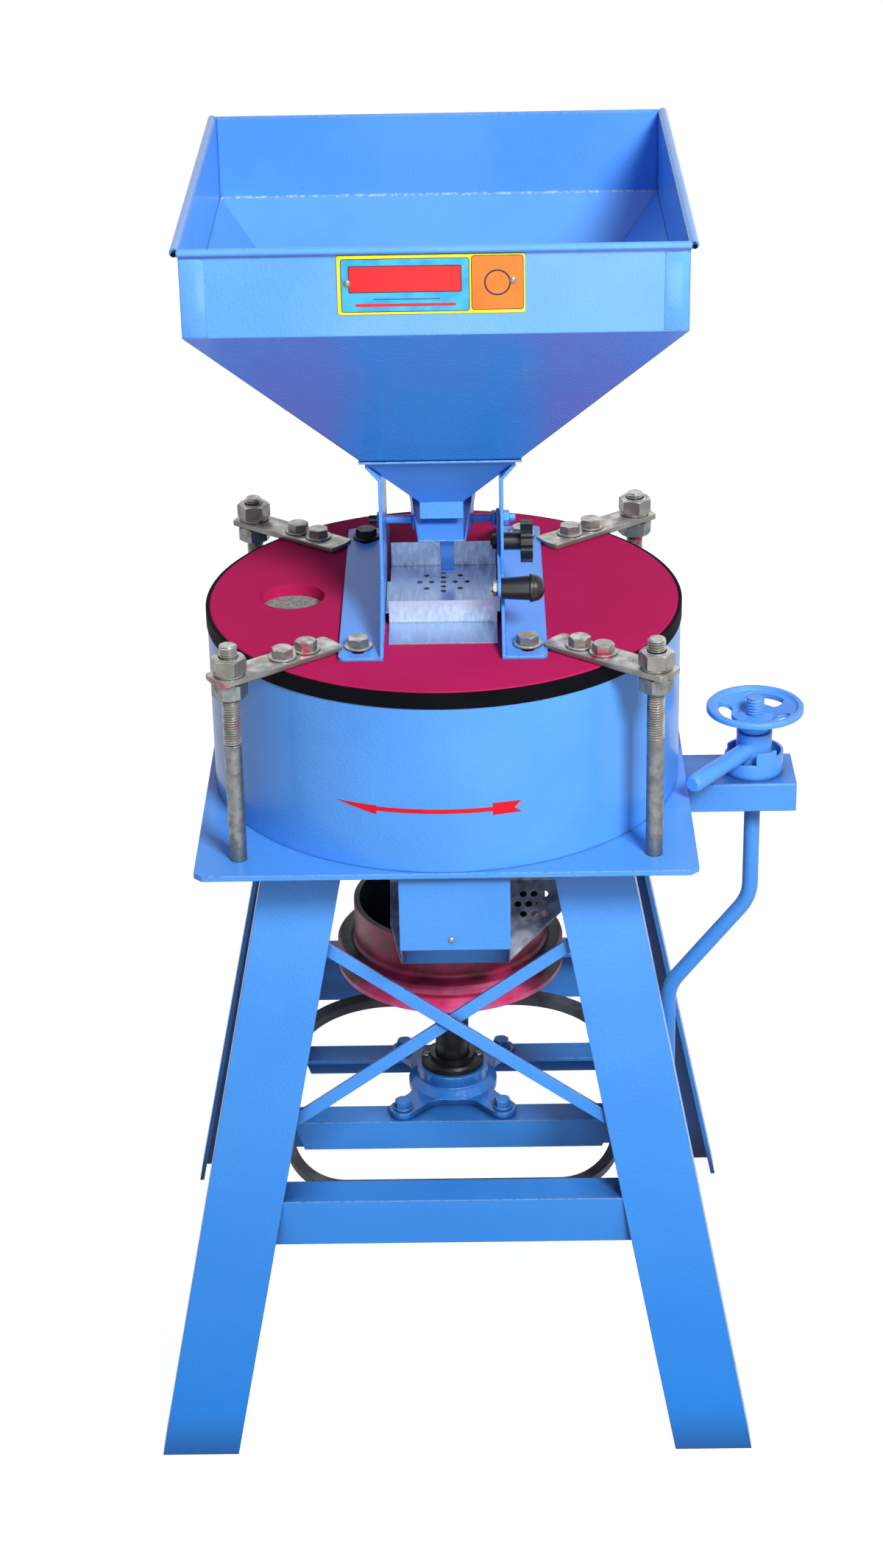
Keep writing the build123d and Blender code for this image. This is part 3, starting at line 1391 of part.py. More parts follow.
def belt_point(across, along):
    """A point on the belt's line, ahead of the bend by along in the sloping plane."""
    bend_y = -belt_side - belt_drop_radius * sin(drop)
    bend_z = belt_level - belt_drop_radius * (1 - cos(drop))
    return Vector(across, bend_y - along * cos(drop), bend_z - along * sin(drop))


with BuildPart() as drive_belt:
    with BuildLine() as belt_line:
        for side in (-1, 1):
            Line((side * belt_half, belt_rear - belt_rear_corner, belt_level),
                 (side * belt_half, -belt_side, belt_level))
            middle = radians(belt_drop / 2)
            ThreePointArc(
                (side * belt_half, -belt_side, belt_level),
                (side * belt_half, -belt_side - belt_drop_radius * sin(middle),
                 belt_level - belt_drop_radius * (1 - cos(middle))),
                belt_point(side * belt_half, 0),
            )
            reach = belt_corner * sin(pi / 4)
            ThreePointArc(
                belt_point(side * belt_half, 0),
                belt_point(side * (belt_half - belt_corner + reach), reach),
                belt_point(side * (belt_half - belt_corner), belt_corner),
            )
            reach = belt_rear_corner * (1 - sin(pi / 4))
            ThreePointArc(
                (side * belt_half, belt_rear - belt_rear_corner, belt_level),
                (side * (belt_half - reach), belt_rear - reach, belt_level),
                (side * (belt_half - belt_rear_corner), belt_rear, belt_level),
            )
        Line(belt_point(-belt_half + belt_corner, belt_corner),
             belt_point(belt_half - belt_corner, belt_corner))
        Line((-belt_half + belt_rear_corner, belt_rear, belt_level),
             (belt_half - belt_rear_corner, belt_rear, belt_level))
    with BuildSketch(Plane((belt_half, 0, belt_level), x_dir=(1, 0, 0), z_dir=(0, 1, 0))):
        with BuildLine():
            half = belt_thickness / 2
            Polyline(
                (half, -belt_width / 2),
                (half, belt_width / 2),
                (-half, belt_inner_width / 2),
                (-half, -belt_inner_width / 2),
                close=True,
            )
        make_face()
    sweep(path=belt_line.wires()[0])
keep("drive_belt", drive_belt.part)

# --- Export ------------------------------------------------------------------------------------------------------------------------------------
os.makedirs("parts", exist_ok=True)
for name, part in pieces.items():
    placed = part.moved(Location((-footprint_middle, 0, 0)))
    placed.label = name
    export_step(placed, f"parts/{name}.step")
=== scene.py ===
# %% [markdown]
# # A stone flour mill with a vertical shaft
#
# Grain falls from the hopper through a tilting chute and a tray of holes into
# the eye of a fixed stone. A second stone turns under it, and the flour leaves
# by the spout below the drum. The solids are already made. This script dresses
# them: it gives every surface its real finish and models the small pieces that
# the solids only block in, such as threads, chamfered nuts and the plate's print.

import json
import math

import bmesh
import bpy
from mathutils import Matrix, Vector

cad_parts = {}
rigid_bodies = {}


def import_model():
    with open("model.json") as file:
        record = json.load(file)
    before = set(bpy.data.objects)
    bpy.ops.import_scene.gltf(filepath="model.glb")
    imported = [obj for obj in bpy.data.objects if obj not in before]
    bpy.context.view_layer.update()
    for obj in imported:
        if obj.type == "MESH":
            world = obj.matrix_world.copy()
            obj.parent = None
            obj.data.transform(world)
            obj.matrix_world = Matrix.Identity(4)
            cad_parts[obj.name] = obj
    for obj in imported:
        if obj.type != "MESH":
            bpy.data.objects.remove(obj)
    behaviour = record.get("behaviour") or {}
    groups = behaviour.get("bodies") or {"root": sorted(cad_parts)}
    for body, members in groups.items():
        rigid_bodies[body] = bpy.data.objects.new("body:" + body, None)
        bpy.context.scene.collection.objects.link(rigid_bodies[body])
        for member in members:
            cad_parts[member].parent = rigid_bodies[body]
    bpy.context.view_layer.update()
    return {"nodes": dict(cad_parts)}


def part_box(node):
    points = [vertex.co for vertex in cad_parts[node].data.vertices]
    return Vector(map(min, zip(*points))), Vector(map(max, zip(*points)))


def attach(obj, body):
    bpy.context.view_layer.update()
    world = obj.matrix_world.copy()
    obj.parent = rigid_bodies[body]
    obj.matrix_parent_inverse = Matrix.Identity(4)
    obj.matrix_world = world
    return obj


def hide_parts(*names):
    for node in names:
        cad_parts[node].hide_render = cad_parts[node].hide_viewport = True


for leftover in list(bpy.data.objects):
    bpy.data.objects.remove(leftover)

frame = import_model()
nodes = frame["nodes"]

# %% [markdown]
# ## Places that everything is set out from
#
# Lengths are in metres, with the origin on the floor in the middle of the machine.
# The spindle stands a little to the left of that, because the handwheel sticks
# out on the right. Places are read from the solids' boxes where they can be.

# %% Read the main places
MM = 0.001


def middle(node):
    """The middle of a node's box."""
    low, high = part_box(node)
    return (low + high) / 2


axis_x = middle("spindle").x
deck_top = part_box("base_plate")[1].z
lid_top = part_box("top_plate")[1].z
arm_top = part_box("clamp_arms")[1].z
print("spindle at", round(axis_x, 4), "deck", round(deck_top, 4), "lid", round(lid_top, 4))

# %% [markdown]
# ## Camera
#
# The machine is seen from a ladder: 2.6 m up, 3.6 m in front, looking down by 26
# degrees with a long lens, so the upright lines stay nearly parallel.

# %% Set the camera
bpy.context.scene.view_settings.view_transform = "Standard"
lens = bpy.data.cameras.new("view")
lens.sensor_fit = "HORIZONTAL"
lens.sensor_width = 36.0
lens.lens = 126.18
lens.clip_end = 200.0
camera = bpy.data.objects.new("view", lens)
bpy.context.scene.collection.objects.link(camera)
eye = Vector((0.00534, -3.62816, 2.58745))
yaw, pitch, roll = -0.01354, 0.45592, -0.02025
ahead = Vector((math.sin(yaw) * math.cos(pitch), math.cos(yaw) * math.cos(pitch), -math.sin(pitch)))
level = Vector((math.cos(yaw), -math.sin(yaw), 0.0))
upright = level.cross(ahead)
right = math.cos(roll) * level + math.sin(roll) * upright
up = math.cos(roll) * upright - math.sin(roll) * level
turn = Matrix((right, up, -ahead)).transposed().to_4x4()
camera.matrix_world = Matrix.Translation(eye) @ turn
bpy.context.scene.camera = camera
print("camera looks", tuple(round(c, 3) for c in ahead))

# %% [markdown]
# ## Small helpers for materials
#
# Colours are written as they look on a screen, in hex, and a shader needs them
# linear. A material is a chain of nodes. One helper adds a node and sets its
# options, and its sockets are filled with numbers or with links.

# %% Colour and node helpers
def linear(code):
    """An sRGB hex colour as linear RGBA."""
    parts = [int(code[i:i + 2], 16) / 255 for i in (0, 2, 4)]
    return [c / 12.92 if c <= 0.04045 else ((c + 0.055) / 1.055) ** 2.4 for c in parts] + [1.0]


def fill(tree, node, sockets):
    """Gives sockets, by name or number, a value or a link."""
    for name, value in sockets.items():
        if isinstance(value, bpy.types.NodeSocket):
            tree.links.new(value, node.inputs[name])
        else:
            node.inputs[name].default_value = value


def add(tree, kind, sockets=None, **options):
    """Adds a node, with its sockets filled and its options set."""
    made = tree.nodes.new("ShaderNode" + kind)
    for name, value in options.items():
        setattr(made, name, value)
    fill(tree, made, sockets or {})
    return made


def per(size):
    """Scale of a pattern whose feature is so many millimetres wide."""
    return 1.0 / (size * MM)


print("the enamel's blue is", [round(c, 3) for c in linear("5ba2f4")], "in linear light")

# %% [markdown]
# ## Floor, sky and light
#
# The machine stands in a plain pale room. The floor is painted light grey and
# shows a soft shadow. Camera and mirror rays see a white room, while the light
# that the sky gives is weaker, so colours stay as they are written.

# %% Light the sky
sky_strength = 0.23


def seen_directly(tree):
    """1 for rays from the camera, a mirror or a glass, and 0 for rays of light."""
    rays = add(tree, "LightPath")
    seen = add(tree, "Math", {0: rays.outputs["Is Camera Ray"], 1: rays.outputs["Is Glossy Ray"]},
               operation="MAXIMUM")
    seen = add(tree, "Math", {0: seen.outputs[0], 1: rays.outputs["Is Transmission Ray"]},
               operation="MAXIMUM")
    return seen.outputs[0]


world = bpy.data.worlds.new("pale_room")
bpy.context.scene.world = world
world.use_nodes = True
tree = world.node_tree
tree.nodes.clear()
glow = add(tree, "Background", {"Color": linear("e6f0ff"), "Strength": sky_strength})
white = add(tree, "Background", {"Color": (1, 1, 1, 1), "Strength": 1.0})
sky = add(tree, "MixShader", {0: seen_directly(tree), 1: glow.outputs[0], 2: white.outputs[0]})
add(tree, "OutputWorld", {"Surface": sky.outputs[0]})
print("sky", world.name, "gives", sky_strength)

# %% Lay the floor
floor_grey, floor_white, floor_reach = 0.36, 0.93, 40.0
floor_paint = bpy.data.materials.new("pale_floor_paint")
floor_paint.use_nodes = True
tree = floor_paint.node_tree
tree.nodes.clear()
lift = add(tree, "Math", {0: seen_directly(tree), 1: floor_white}, operation="MULTIPLY")
paint = add(tree, "BsdfDiffuse", {"Color": (floor_grey, floor_grey, floor_grey, 1)})
lamp = add(tree, "Emission", {"Color": (1, 1, 1, 1), "Strength": lift.outputs[0]})
both = add(tree, "AddShader", {0: paint.outputs[0], 1: lamp.outputs[0]})
add(tree, "OutputMaterial", {"Surface": both.outputs[0]})

bm = bmesh.new()
bmesh.ops.create_grid(bm, x_segments=1, y_segments=1, size=floor_reach)
sheet = bpy.data.meshes.new("floor")
bm.to_mesh(sheet)
bm.free()
floor = bpy.data.objects.new("floor", sheet)
bpy.context.scene.collection.objects.link(floor)
sheet.materials.append(floor_paint)
print("floor", 2 * floor_reach, "m wide")

# %% [markdown]
# ### Three lamps
#
# The main lamp is a square window, high on the right in front: its light falls
# off a little towards the feet, and it throws soft shadows to the left and back.
# A white board low in front fills in the drum, and a broad weak glow from the
# front keeps corners from going black. Its power is in watts per square metre,
# and the others' are in watts.

# %% Hang the lamps


def lamp_at(name, kind, place, target, power, width):
    """A window (AREA, metres wide) or a distant glow (SUN, degrees wide) facing a point."""
    light = bpy.data.lights.new(name, kind)
    light.energy = power
    if kind == "AREA":
        light.size = width
    else:
        light.angle = math.radians(width)
    thing = bpy.data.objects.new(name, light)
    bpy.context.scene.collection.objects.link(thing)
    thing.location = place
    thing.rotation_euler = (Vector(target) - Vector(place)).to_track_quat("-Z", "Y").to_euler()
    print(name, power, "from", place)


lamp_at("window", "AREA", (1.4, -2.9, 3.55), (0, 0, 1.5), 176, 1.0)
lamp_at("reflector", "AREA", (0.25, -2.6, 1.0), (0, 0, 1.35), 10, 1.0)
lamp_at("far_glow", "SUN", (0.5, -3.0, 1.3), (0, 0, 0.8), 0.20, 50)

# %% [markdown]
# ## Painted steel
#
# The stand, drum, hopper and levers are mild steel under a sprayed enamel. Such
# paint dries with an orange-peel skin a few millimetres wide, runs in soft waves
# over sheet metal, rounds every edge and chips off the sharpest ones. A Bevel
# node bends the normal near an edge and so rounds it without touching the
# solids. A wider one, compared with the true normal, finds the edges that wear
# and the ones that get a painted highlight. Narrow corners get painted shade.

# %% Clouds of colour and a skin of bumps


def new_material(name):
    """A material with its tree, its shader and the place of each point."""
    made = bpy.data.materials.new(name)
    made.use_nodes = True
    tree = made.node_tree
    return made, tree, tree.nodes["Principled BSDF"], add(tree, "TexCoord").outputs["Object"]


def two_tone(tree, place, size, colour, deep, detail=4.0):
    """A cloudy mix of two hex colours, with clouds so many millimetres wide, and its share."""
    cloud = add(tree, "TexNoise", {"Vector": place, "Scale": per(size), "Detail": detail})
    tone = add(tree, "MapRange", {"Value": cloud.outputs["Fac"], "From Min": 0.38, "From Max": 0.62})
    mix = add(tree, "Mix", {0: tone.outputs[0], 6: linear(deep), 7: linear(colour)}, data_type="RGBA")
    return mix.outputs[2], tone.outputs[0]


def over(tree, share, under, top):
    """One colour laid over another where a share says so."""
    return add(tree, "Mix", {0: share, 6: under, 7: top}, data_type="RGBA").outputs[2]


def facing(tree):
    """The X, Y and Z of the true normal."""
    return add(tree, "SeparateXYZ", {0: add(tree, "NewGeometry").outputs["Normal"]}).outputs


def distance(tree, value, level):
    """How far a value lies from a level, either way."""
    away = add(tree, "Math", {0: value, 1: level}, operation="SUBTRACT")
    return add(tree, "Math", {0: away.outputs[0]}, operation="ABSOLUTE").outputs[0]


def skin(tree, place, radius, layers):
    """Normals rounded at the edges, with bumps given as (width, height, strength) in mm."""
    normal = add(tree, "Bevel", {"Radius": radius * MM}, samples=3).outputs[0]
    for width, height, strength in layers:
        rise = add(tree, "TexNoise", {"Vector": place, "Scale": per(width), "Detail": 2.0})
        normal = add(tree, "Bump", {"Height": rise.outputs["Fac"], "Distance": height * MM,
                                    "Strength": strength, "Normal": normal}).outputs[0]
    return normal


print("scale of a 130 mm cloud:", round(per(130), 2))

# %% Find edges and corners


def bend(tree, radius):
    """The normal rounded over so many mm, and how well it agrees with the true one."""
    broad = add(tree, "Bevel", {"Radius": radius * MM}, samples=3).outputs[0]
    true = add(tree, "NewGeometry").outputs["Normal"]
    same = add(tree, "VectorMath", {0: broad, 1: true}, operation="DOT_PRODUCT")
    return broad, same.outputs["Value"]


def worn_edges(tree, place, radius, amount):
    """1 where an edge has lost its paint."""
    same = bend(tree, radius)[1]
    speck = add(tree, "TexNoise", {"Vector": place, "Scale": per(9), "Detail": 4.0,
                                   "Roughness": 0.65})
    bent = add(tree, "Math", {0: 1.0, 1: same}, operation="SUBTRACT")
    bent = add(tree, "Math", {0: bent.outputs[0], 1: amount, 2: speck.outputs["Fac"]},
               operation="MULTIPLY_ADD")
    worn = add(tree, "MapRange", {"Value": bent.outputs[0], "From Min": 0.745, "From Max": 0.765})
    return worn.outputs[0]


def painted_edge_highlight(tree, radius, share):
    """Up to a share along edges between a top and a front: a painted highlight where a rounded coat
    would shine.
    """
    broad, same = bend(tree, radius)
    bent = add(tree, "MapRange", {"Value": same, "From Min": 0.99, "From Max": 0.90})
    toward = add(tree, "VectorMath", {0: broad, 1: (0.1, -0.70, 0.70)}, operation="DOT_PRODUCT")
    lit = add(tree, "MapRange", {"Value": toward.outputs["Value"], "From Min": 0.84, "From Max": 0.97,
                                 "To Max": share})
    return add(tree, "Math", {0: bent.outputs[0], 1: lit.outputs[0]}, operation="MULTIPLY").outputs[0]


def painted_corner_shade(tree, reach, clean=0.62, full=0.25, most=1.0):
    """Up to 1 in corners narrower than so many millimetres: a mask for painted shade."""
    open_sky = add(tree, "AmbientOcclusion", {"Distance": reach * MM}, samples=4)
    return add(tree, "MapRange", {"Value": open_sky.outputs["AO"], "From Min": clean,
                                  "From Max": full, "To Max": most}).outputs[0]


# The darker corners are painted shade.
print("worn edges and dirty corners are found by the finishes alone")

# %% [markdown]
# ### The blue enamel
#
# One recipe makes every blue. It is deeper towards the feet, has painted shade in
# narrow corners and under the deck and a painted highlight on rounded edges, and
# is chipped down to dark steel at edges. Under the hopper the lid's crimson shows
# as a painted reflection, and its rear fold has painted glints.

# %% Painted reflection of the lid and painted glints in the fold
fold_level = 1513 * MM  # where the hopper's walls turn in to the cone


def painted_lid_reflection(tree, place, body, cast):
    """Faces that look down in one hex colour, and in another one out on the sides: a painted
    reflection of the lid.
    """
    across = distance(tree, add(tree, "SeparateXYZ", {0: place}).outputs["X"], axis_x)
    cloud = add(tree, "TexNoise", {"Vector": place, "Scale": per(90), "Detail": 3.0})
    across = add(tree, "Math", {0: cloud.outputs["Fac"], 1: 60 * MM, 2: across},
                 operation="MULTIPLY_ADD")
    share = add(tree, "MapRange", {"Value": across.outputs[0], "From Min": 85 * MM,
                                   "From Max": 175 * MM}, interpolation_type="SMOOTHSTEP")
    under = add(tree, "MapRange", {"Value": facing(tree)["Z"], "From Min": -0.1, "From Max": -0.4})
    share = add(tree, "Math", {0: share.outputs[0], 1: under.outputs[0]}, operation="MULTIPLY")
    body = over(tree, under.outputs[0], body, linear(cast[0]))
    return over(tree, share.outputs[0], body, linear(cast[1]))


def painted_fold_glints(tree, place, wall, fold):
    """Painted glints inside the rear wall, at the level of the fold, in broken dots."""
    spot = add(tree, "SeparateXYZ", {0: place}).outputs
    inside = add(tree, "MapRange", {"Value": facing(tree)["Y"], "From Min": 0.0, "From Max": -0.2})
    rear = add(tree, "MapRange", {"Value": spot["Y"], "From Min": wall - 12 * MM,
                                  "From Max": wall - 8 * MM})
    near = add(tree, "MapRange", {"Value": distance(tree, spot["Z"], fold), "From Min": 1.9 * MM,
                                  "From Max": 0.7 * MM})
    dots = add(tree, "TexNoise", {"Vector": place, "Scale": per(5), "Detail": 3.0})
    dots = add(tree, "MapRange", {"Value": dots.outputs["Fac"], "From Min": 0.44, "From Max": 0.66,
                                  "To Max": 0.85})
    shine = add(tree, "Math", {0: inside.outputs[0], 1: rear.outputs[0]}, operation="MULTIPLY")
    for share in (near, dots):
        shine = add(tree, "Math", {0: shine.outputs[0], 1: share.outputs[0]}, operation="MULTIPLY")
    return shine.outputs[0]


print("the hopper folds at", fold_level)

# %% Mix the enamel
deeper_from, deepest_at = 0.95, 0.05  # heights in metres


def enamel(name, colour, deep, soft=1.4, stipple=0.5, grain=4.0, cast=None, coat=0.14, fold_glint_place=None):
    """Blue enamel, its edges' radius and grain in mm, its painted lid reflection's colours and the
    place of its painted glints.
    """
    made, tree, shader, place = new_material(name)
    body = two_tone(tree, place, 130, colour, deep)[0]
    if cast:
        body = painted_lid_reflection(tree, place, body, cast)
    # A deeper blue towards the feet, then painted shade in the corners below the deck.
    height = add(tree, "SeparateXYZ", {0: place}).outputs["Z"]
    low = add(tree, "MapRange", {"Value": height, "From Min": deeper_from, "From Max": deepest_at,
                                 "To Max": 0.9})
    body = over(tree, low.outputs[0], body, linear("0f7fdc"))
    below = add(tree, "MapRange", {"Value": height, "From Min": deck_top,
                                   "From Max": deck_top - 8 * MM})
    painted_deck_shade = add(tree, "Math", {0: painted_corner_shade(tree, 70, clean=0.95, full=0.50, most=0.95),
                              1: below.outputs[0]}, operation="MULTIPLY")
    body = over(tree, painted_deck_shade.outputs[0], body, linear("17336a"))
    # Painted shade in narrow corners, a painted highlight on rounded edges, and chips on the sharpest
    # ones.
    body = over(tree, painted_corner_shade(tree, 7), body, linear("1d3a72"))
    body = over(tree, painted_edge_highlight(tree, 1.9, 0.85), body, linear("cfe8ff"))
    body = over(tree, worn_edges(tree, place, 2.2, 0.52), body, linear("26344e"))
    if fold_glint_place:
        body = over(tree, painted_fold_glints(tree, place, *fold_glint_place), body, linear("c8e6ff"))
    waves = skin(tree, place, soft, [(80, 4.0, 0.22), (grain, 1.0, stipple)])
    fill(tree, shader, {"Base Color": body, "Normal": waves, "Roughness": 0.34,
                        "Specular IOR Level": 0.22, "Coat Weight": coat, "Coat Roughness": 0.12})
    return made


# A mid blue enamel: slightly wavy, with a soft gloss and a few dark chips at its edges.
blue_enamel = enamel("blue_enamel_sprayed", "5ba2f4", "549cf0")

# The hopper's thin sheet has wide folds, and underneath it has a painted reflection of the lid's
# crimson.
thin_sheet = {"colour": "5fa4f4", "deep": "569df0", "stipple": 0.55, "grain": 3.4, "coat": 0.5}
hopper_enamel = enamel("blue_enamel_on_thin_sheet", soft=3.6, cast=("389afa", "5f8bf0"),
                       fold_glint_place=(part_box("hopper_bin")[1].y, fold_level), **thin_sheet)
# Its corner laps are painted alike, but their edges are nearly sharp.
lap_enamel = enamel("blue_enamel_on_laps", soft=0.4, **thin_sheet)

# The bearing housing was cast in sand, and its grit shows through the paint.
casting_enamel = enamel("blue_enamel_on_sand_casting", "4a94ea", "4088e0", soft=2.4, stipple=1.0,
                        grain=5.5, coat=0.5)
print("blues:", blue_enamel.name, hopper_enamel.name, lap_enamel.name, casting_enamel.name)

# %% The lid's crimson
# A crimson lid paint put on with a brush: nearly matt and even.
lid_paint, tree, shader, place = new_material("crimson_paint_brushed")
colour = two_tone(tree, place, 160, "c3215c", "bc1e57")[0]
colour = over(tree, worn_edges(tree, place, 2.0, 0.25), colour, linear("5a2a38"))
strokes = skin(tree, place, 1.2, [(60, 2.0, 0.15), (5.0, 0.4, 0.15)])
fill(tree, shader, {"Base Color": colour, "Normal": strokes, "Roughness": 0.70,
                    "Specular IOR Level": 0.06})
print("lid:", lid_paint.name)

# %% [markdown]
# ### The pulley
#
# The cup pulley is cast iron under a thin wine-red primer. The cup is a darker
# red, and the lower flange's bright pink is painted light. Inside the cup, and on
# the ledges away from the front, it goes near black: grease and painted shade.
# The distance from the spindle and the height say which part a point is on.

# %% Primer, grease and painted light on the pulley
pulley_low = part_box("pulley")[0].z
cup_inside = 121 * MM  # the radius of the cup's inner wall
pulley_paint, tree, shader, place = new_material("wine_primer_on_cast_iron")
offset = add(tree, "VectorMath", {0: place, 1: (axis_x, 0, 0)}, operation="SUBTRACT")
spot = add(tree, "SeparateXYZ", {0: offset.outputs[0]})
flat = add(tree, "VectorMath", {0: offset.outputs[0], 1: (1, 1, 0)}, operation="MULTIPLY")
reach = add(tree, "VectorMath", {0: flat.outputs[0]}, operation="LENGTH").outputs["Value"]
# The bright pink of the lower flange is painted light; the cup above it is a darker red.
clean = two_tone(tree, place, 26, "ff70a4", "f04a86")[0]
darker = two_tone(tree, place, 22, "ac2650", "761b38")[0]
grime_and_painted_shade = two_tone(tree, place, 9, "3a3b42", "1e1f25")[0]
height = add(tree, "MapRange", {"Value": spot.outputs["Z"], "From Min": pulley_low + 22 * MM,
                                "From Max": pulley_low + 52 * MM})
smudge = add(tree, "TexNoise", {"Vector": place, "Scale": per(30), "Detail": 5.0})
height = add(tree, "Math", {0: smudge.outputs["Fac"], 1: 0.9, 2: height.outputs[0]},
             operation="MULTIPLY_ADD")
height = add(tree, "MapRange", {"Value": height.outputs[0], "From Min": 0.35, "From Max": 1.1})
colour = over(tree, height.outputs[0], clean, darker)
# Away from the front the ledges, and the cup's inside wall, go near black: grease and painted shade.
behind = add(tree, "MapRange", {"Value": spot.outputs["Y"], "From Min": -105 * MM,
                                "From Max": -50 * MM})
behind = add(tree, "Math", {0: smudge.outputs["Fac"], 1: 0.5, 2: behind.outputs[0]},
             operation="MULTIPLY_ADD")
behind = add(tree, "MapRange", {"Value": behind.outputs[0], "From Min": 0.30, "From Max": 0.95})
inside = add(tree, "MapRange", {"Value": reach, "From Min": cup_inside + 1.5 * MM,
                                "From Max": cup_inside})
colour = over(tree, inside.outputs[0], colour, grime_and_painted_shade)
ledge = add(tree, "MapRange", {"Value": facing(tree)["Z"], "From Min": 0.5, "From Max": 0.9})
ledge = add(tree, "Math", {0: ledge.outputs[0], 1: behind.outputs[0]}, operation="MULTIPLY")
colour = over(tree, ledge.outputs[0], colour, grime_and_painted_shade)
cast_skin = skin(tree, place, 1.2, [(14, 1.0, 0.3), (2.0, 0.4, 0.35)])
fill(tree, shader, {"Base Color": colour, "Normal": cast_skin, "Roughness": 0.38,
                    "Specular IOR Level": 0.45})
print("pulley paint from", round(pulley_low, 3))

# %% [markdown]
# ## Metals
#
# A bare metal is its own colour in the mirror of its surface, so what matters is
# how rough it is and how that changes. Painted shade darkens its narrow corners.

# %% Mix a metal


def metal(name, colour, deep, rough, cloud=14, grain=1.6, pits=0.2, metallic=1.0, stretch=None,
          radius=0.8, sides=None, painted_reflection_on_tops=None, smear=None):
    """A metal with a fine grain, and other hex colours as painted shade on its sides, a painted
    reflection on its upper faces, or in dabs of paint.
    """
    made, tree, shader, place = new_material(name)
    if stretch:
        place = add(tree, "Mapping", {"Vector": place, "Scale": stretch}).outputs[0]
    body, tone = two_tone(tree, place, cloud, colour, deep, 5.0)
    haze = add(tree, "MapRange", {"Value": tone, "To Min": rough + 0.10, "To Max": rough - 0.08})
    # Sides darker than upper faces: painted shade. Upper faces in another colour: painted reflection.
    if sides or painted_reflection_on_tops:
        upward = add(tree, "MapRange", {"Value": facing(tree)["Z"], "From Min": 0.35,
                                        "From Max": 0.75})
        if sides:
            painted_side_shade = add(tree, "MapRange", {"Value": upward.outputs[0], "To Min": 0.75,
                                               "To Max": 0.0})
            body = over(tree, painted_side_shade.outputs[0], body, linear(sides))
        if painted_reflection_on_tops:
            body = over(tree, upward.outputs[0], body, linear(painted_reflection_on_tops))
    if smear:
        dab = add(tree, "TexNoise", {"Vector": place, "Scale": per(38), "Detail": 4.0})
        dab = add(tree, "MapRange", {"Value": dab.outputs["Fac"], "From Min": 0.63, "From Max": 0.70,
                                     "To Max": 0.8})
        body = over(tree, dab.outputs[0], body, linear(smear))
    # Painted shade in narrow corners.
    body = over(tree, painted_corner_shade(tree, 5), body, linear("1c1a18"))
    fill(tree, shader, {"Base Color": body, "Normal": skin(tree, place, radius, [(grain, 0.3, pits)]),
                        "Roughness": haze.outputs[0], "Metallic": metallic})
    return made


print("a metal's roughness follows its clouds")

# %% Metal finishes
# Zinc plating: pale and warm, with painted shade on its sides and stray dabs of crimson paint.
zinc = metal("zinc_plated_steel", "d2d0c9", "a19e97", 0.30, cloud=15, grain=2.2, pits=0.22,
             metallic=0.60, radius=0.5, sides="6e6b66", smear="b4305f")
# Bar as it was drawn: grey, with a fine grain.
mill_bar = metal("drawn_steel_bar", "86898a", "6c6e6c", 0.42, cloud=10, grain=1.4, pits=0.3,
                 metallic=0.85)
# Blackened steel, ground bearing steel, cast bronze and machined cast iron.
black_oxide = metal("black_oxide_steel", "303236", "1b1c1f", 0.38, metallic=0.7)
ground_steel = metal("ground_bearing_steel", "b4b5b8", "8f9093", 0.25)
bronze = metal("cast_bronze", "a9773c", "7c5527", 0.35)
cast_iron = metal("cast_iron_machined", "55534f", "3a3836", 0.5, grain=2.5, pits=0.4)
# Galvanised sheet: pale, with rolling streaks and a painted blue reflection on its upper faces.
galvanised = metal("galvanised_sheet", "e0e9f2", "bccbdb", 0.30, cloud=5, grain=1.5, pits=0.10,
                   metallic=0.60, stretch=(1.0, 0.10, 0.4), painted_reflection_on_tops="96afd2")
# Black sheet under grease: grey, blotched and soft in its shine.
guard_steel = metal("greasy_black_sheet", "a8acb8", "6c707e", 0.45, cloud=16, metallic=0.15)
print("metals:", zinc.name, galvanised.name, guard_steel.name)

# %% [markdown]
# ## Rubber, plastic, stone and print
#
# These are dull solids with two close tones and a grain of their own: the mould's
# texture on plastic, cloth under the belt's rubber, grit in the cast stone.

# %% Other finishes


def dull(name, colour, deep, rough, grain, bump, spread=40, gloss=0.5, radius=0.8, detail=5.0):
    """A solid that is not metal, with its grain's width in mm."""
    made, tree, shader, place = new_material(name)
    body = two_tone(tree, place, spread, colour, deep, detail)[0]
    fill(tree, shader, {"Base Color": body, "Normal": skin(tree, place, radius, [(grain, 0.5, bump)]),
                        "Roughness": rough, "Specular IOR Level": gloss})
    return made


# Rubber: the gasket's is black and flat, the belt's is greyed by its worn cloth.
gasket_rubber = dull("moulded_gasket_rubber", "080a11", "04050a", 0.7, 2.0, 0.4, gloss=0.06)
belt_rubber = dull("rubber_belt_with_cloth_cover", "555a62", "33363c", 0.6, 1.4, 0.5, gloss=0.3)
# Moulded plastic with a soft shine, and stone cast from grit.
black_plastic = dull("moulded_black_plastic", "1a1c20", "121316", 0.34, 1.0, 0.10)
emery = dull("cast_emery_stone", "a4a79f", "7c7f79", 0.85, 1.8, 0.6, spread=5)
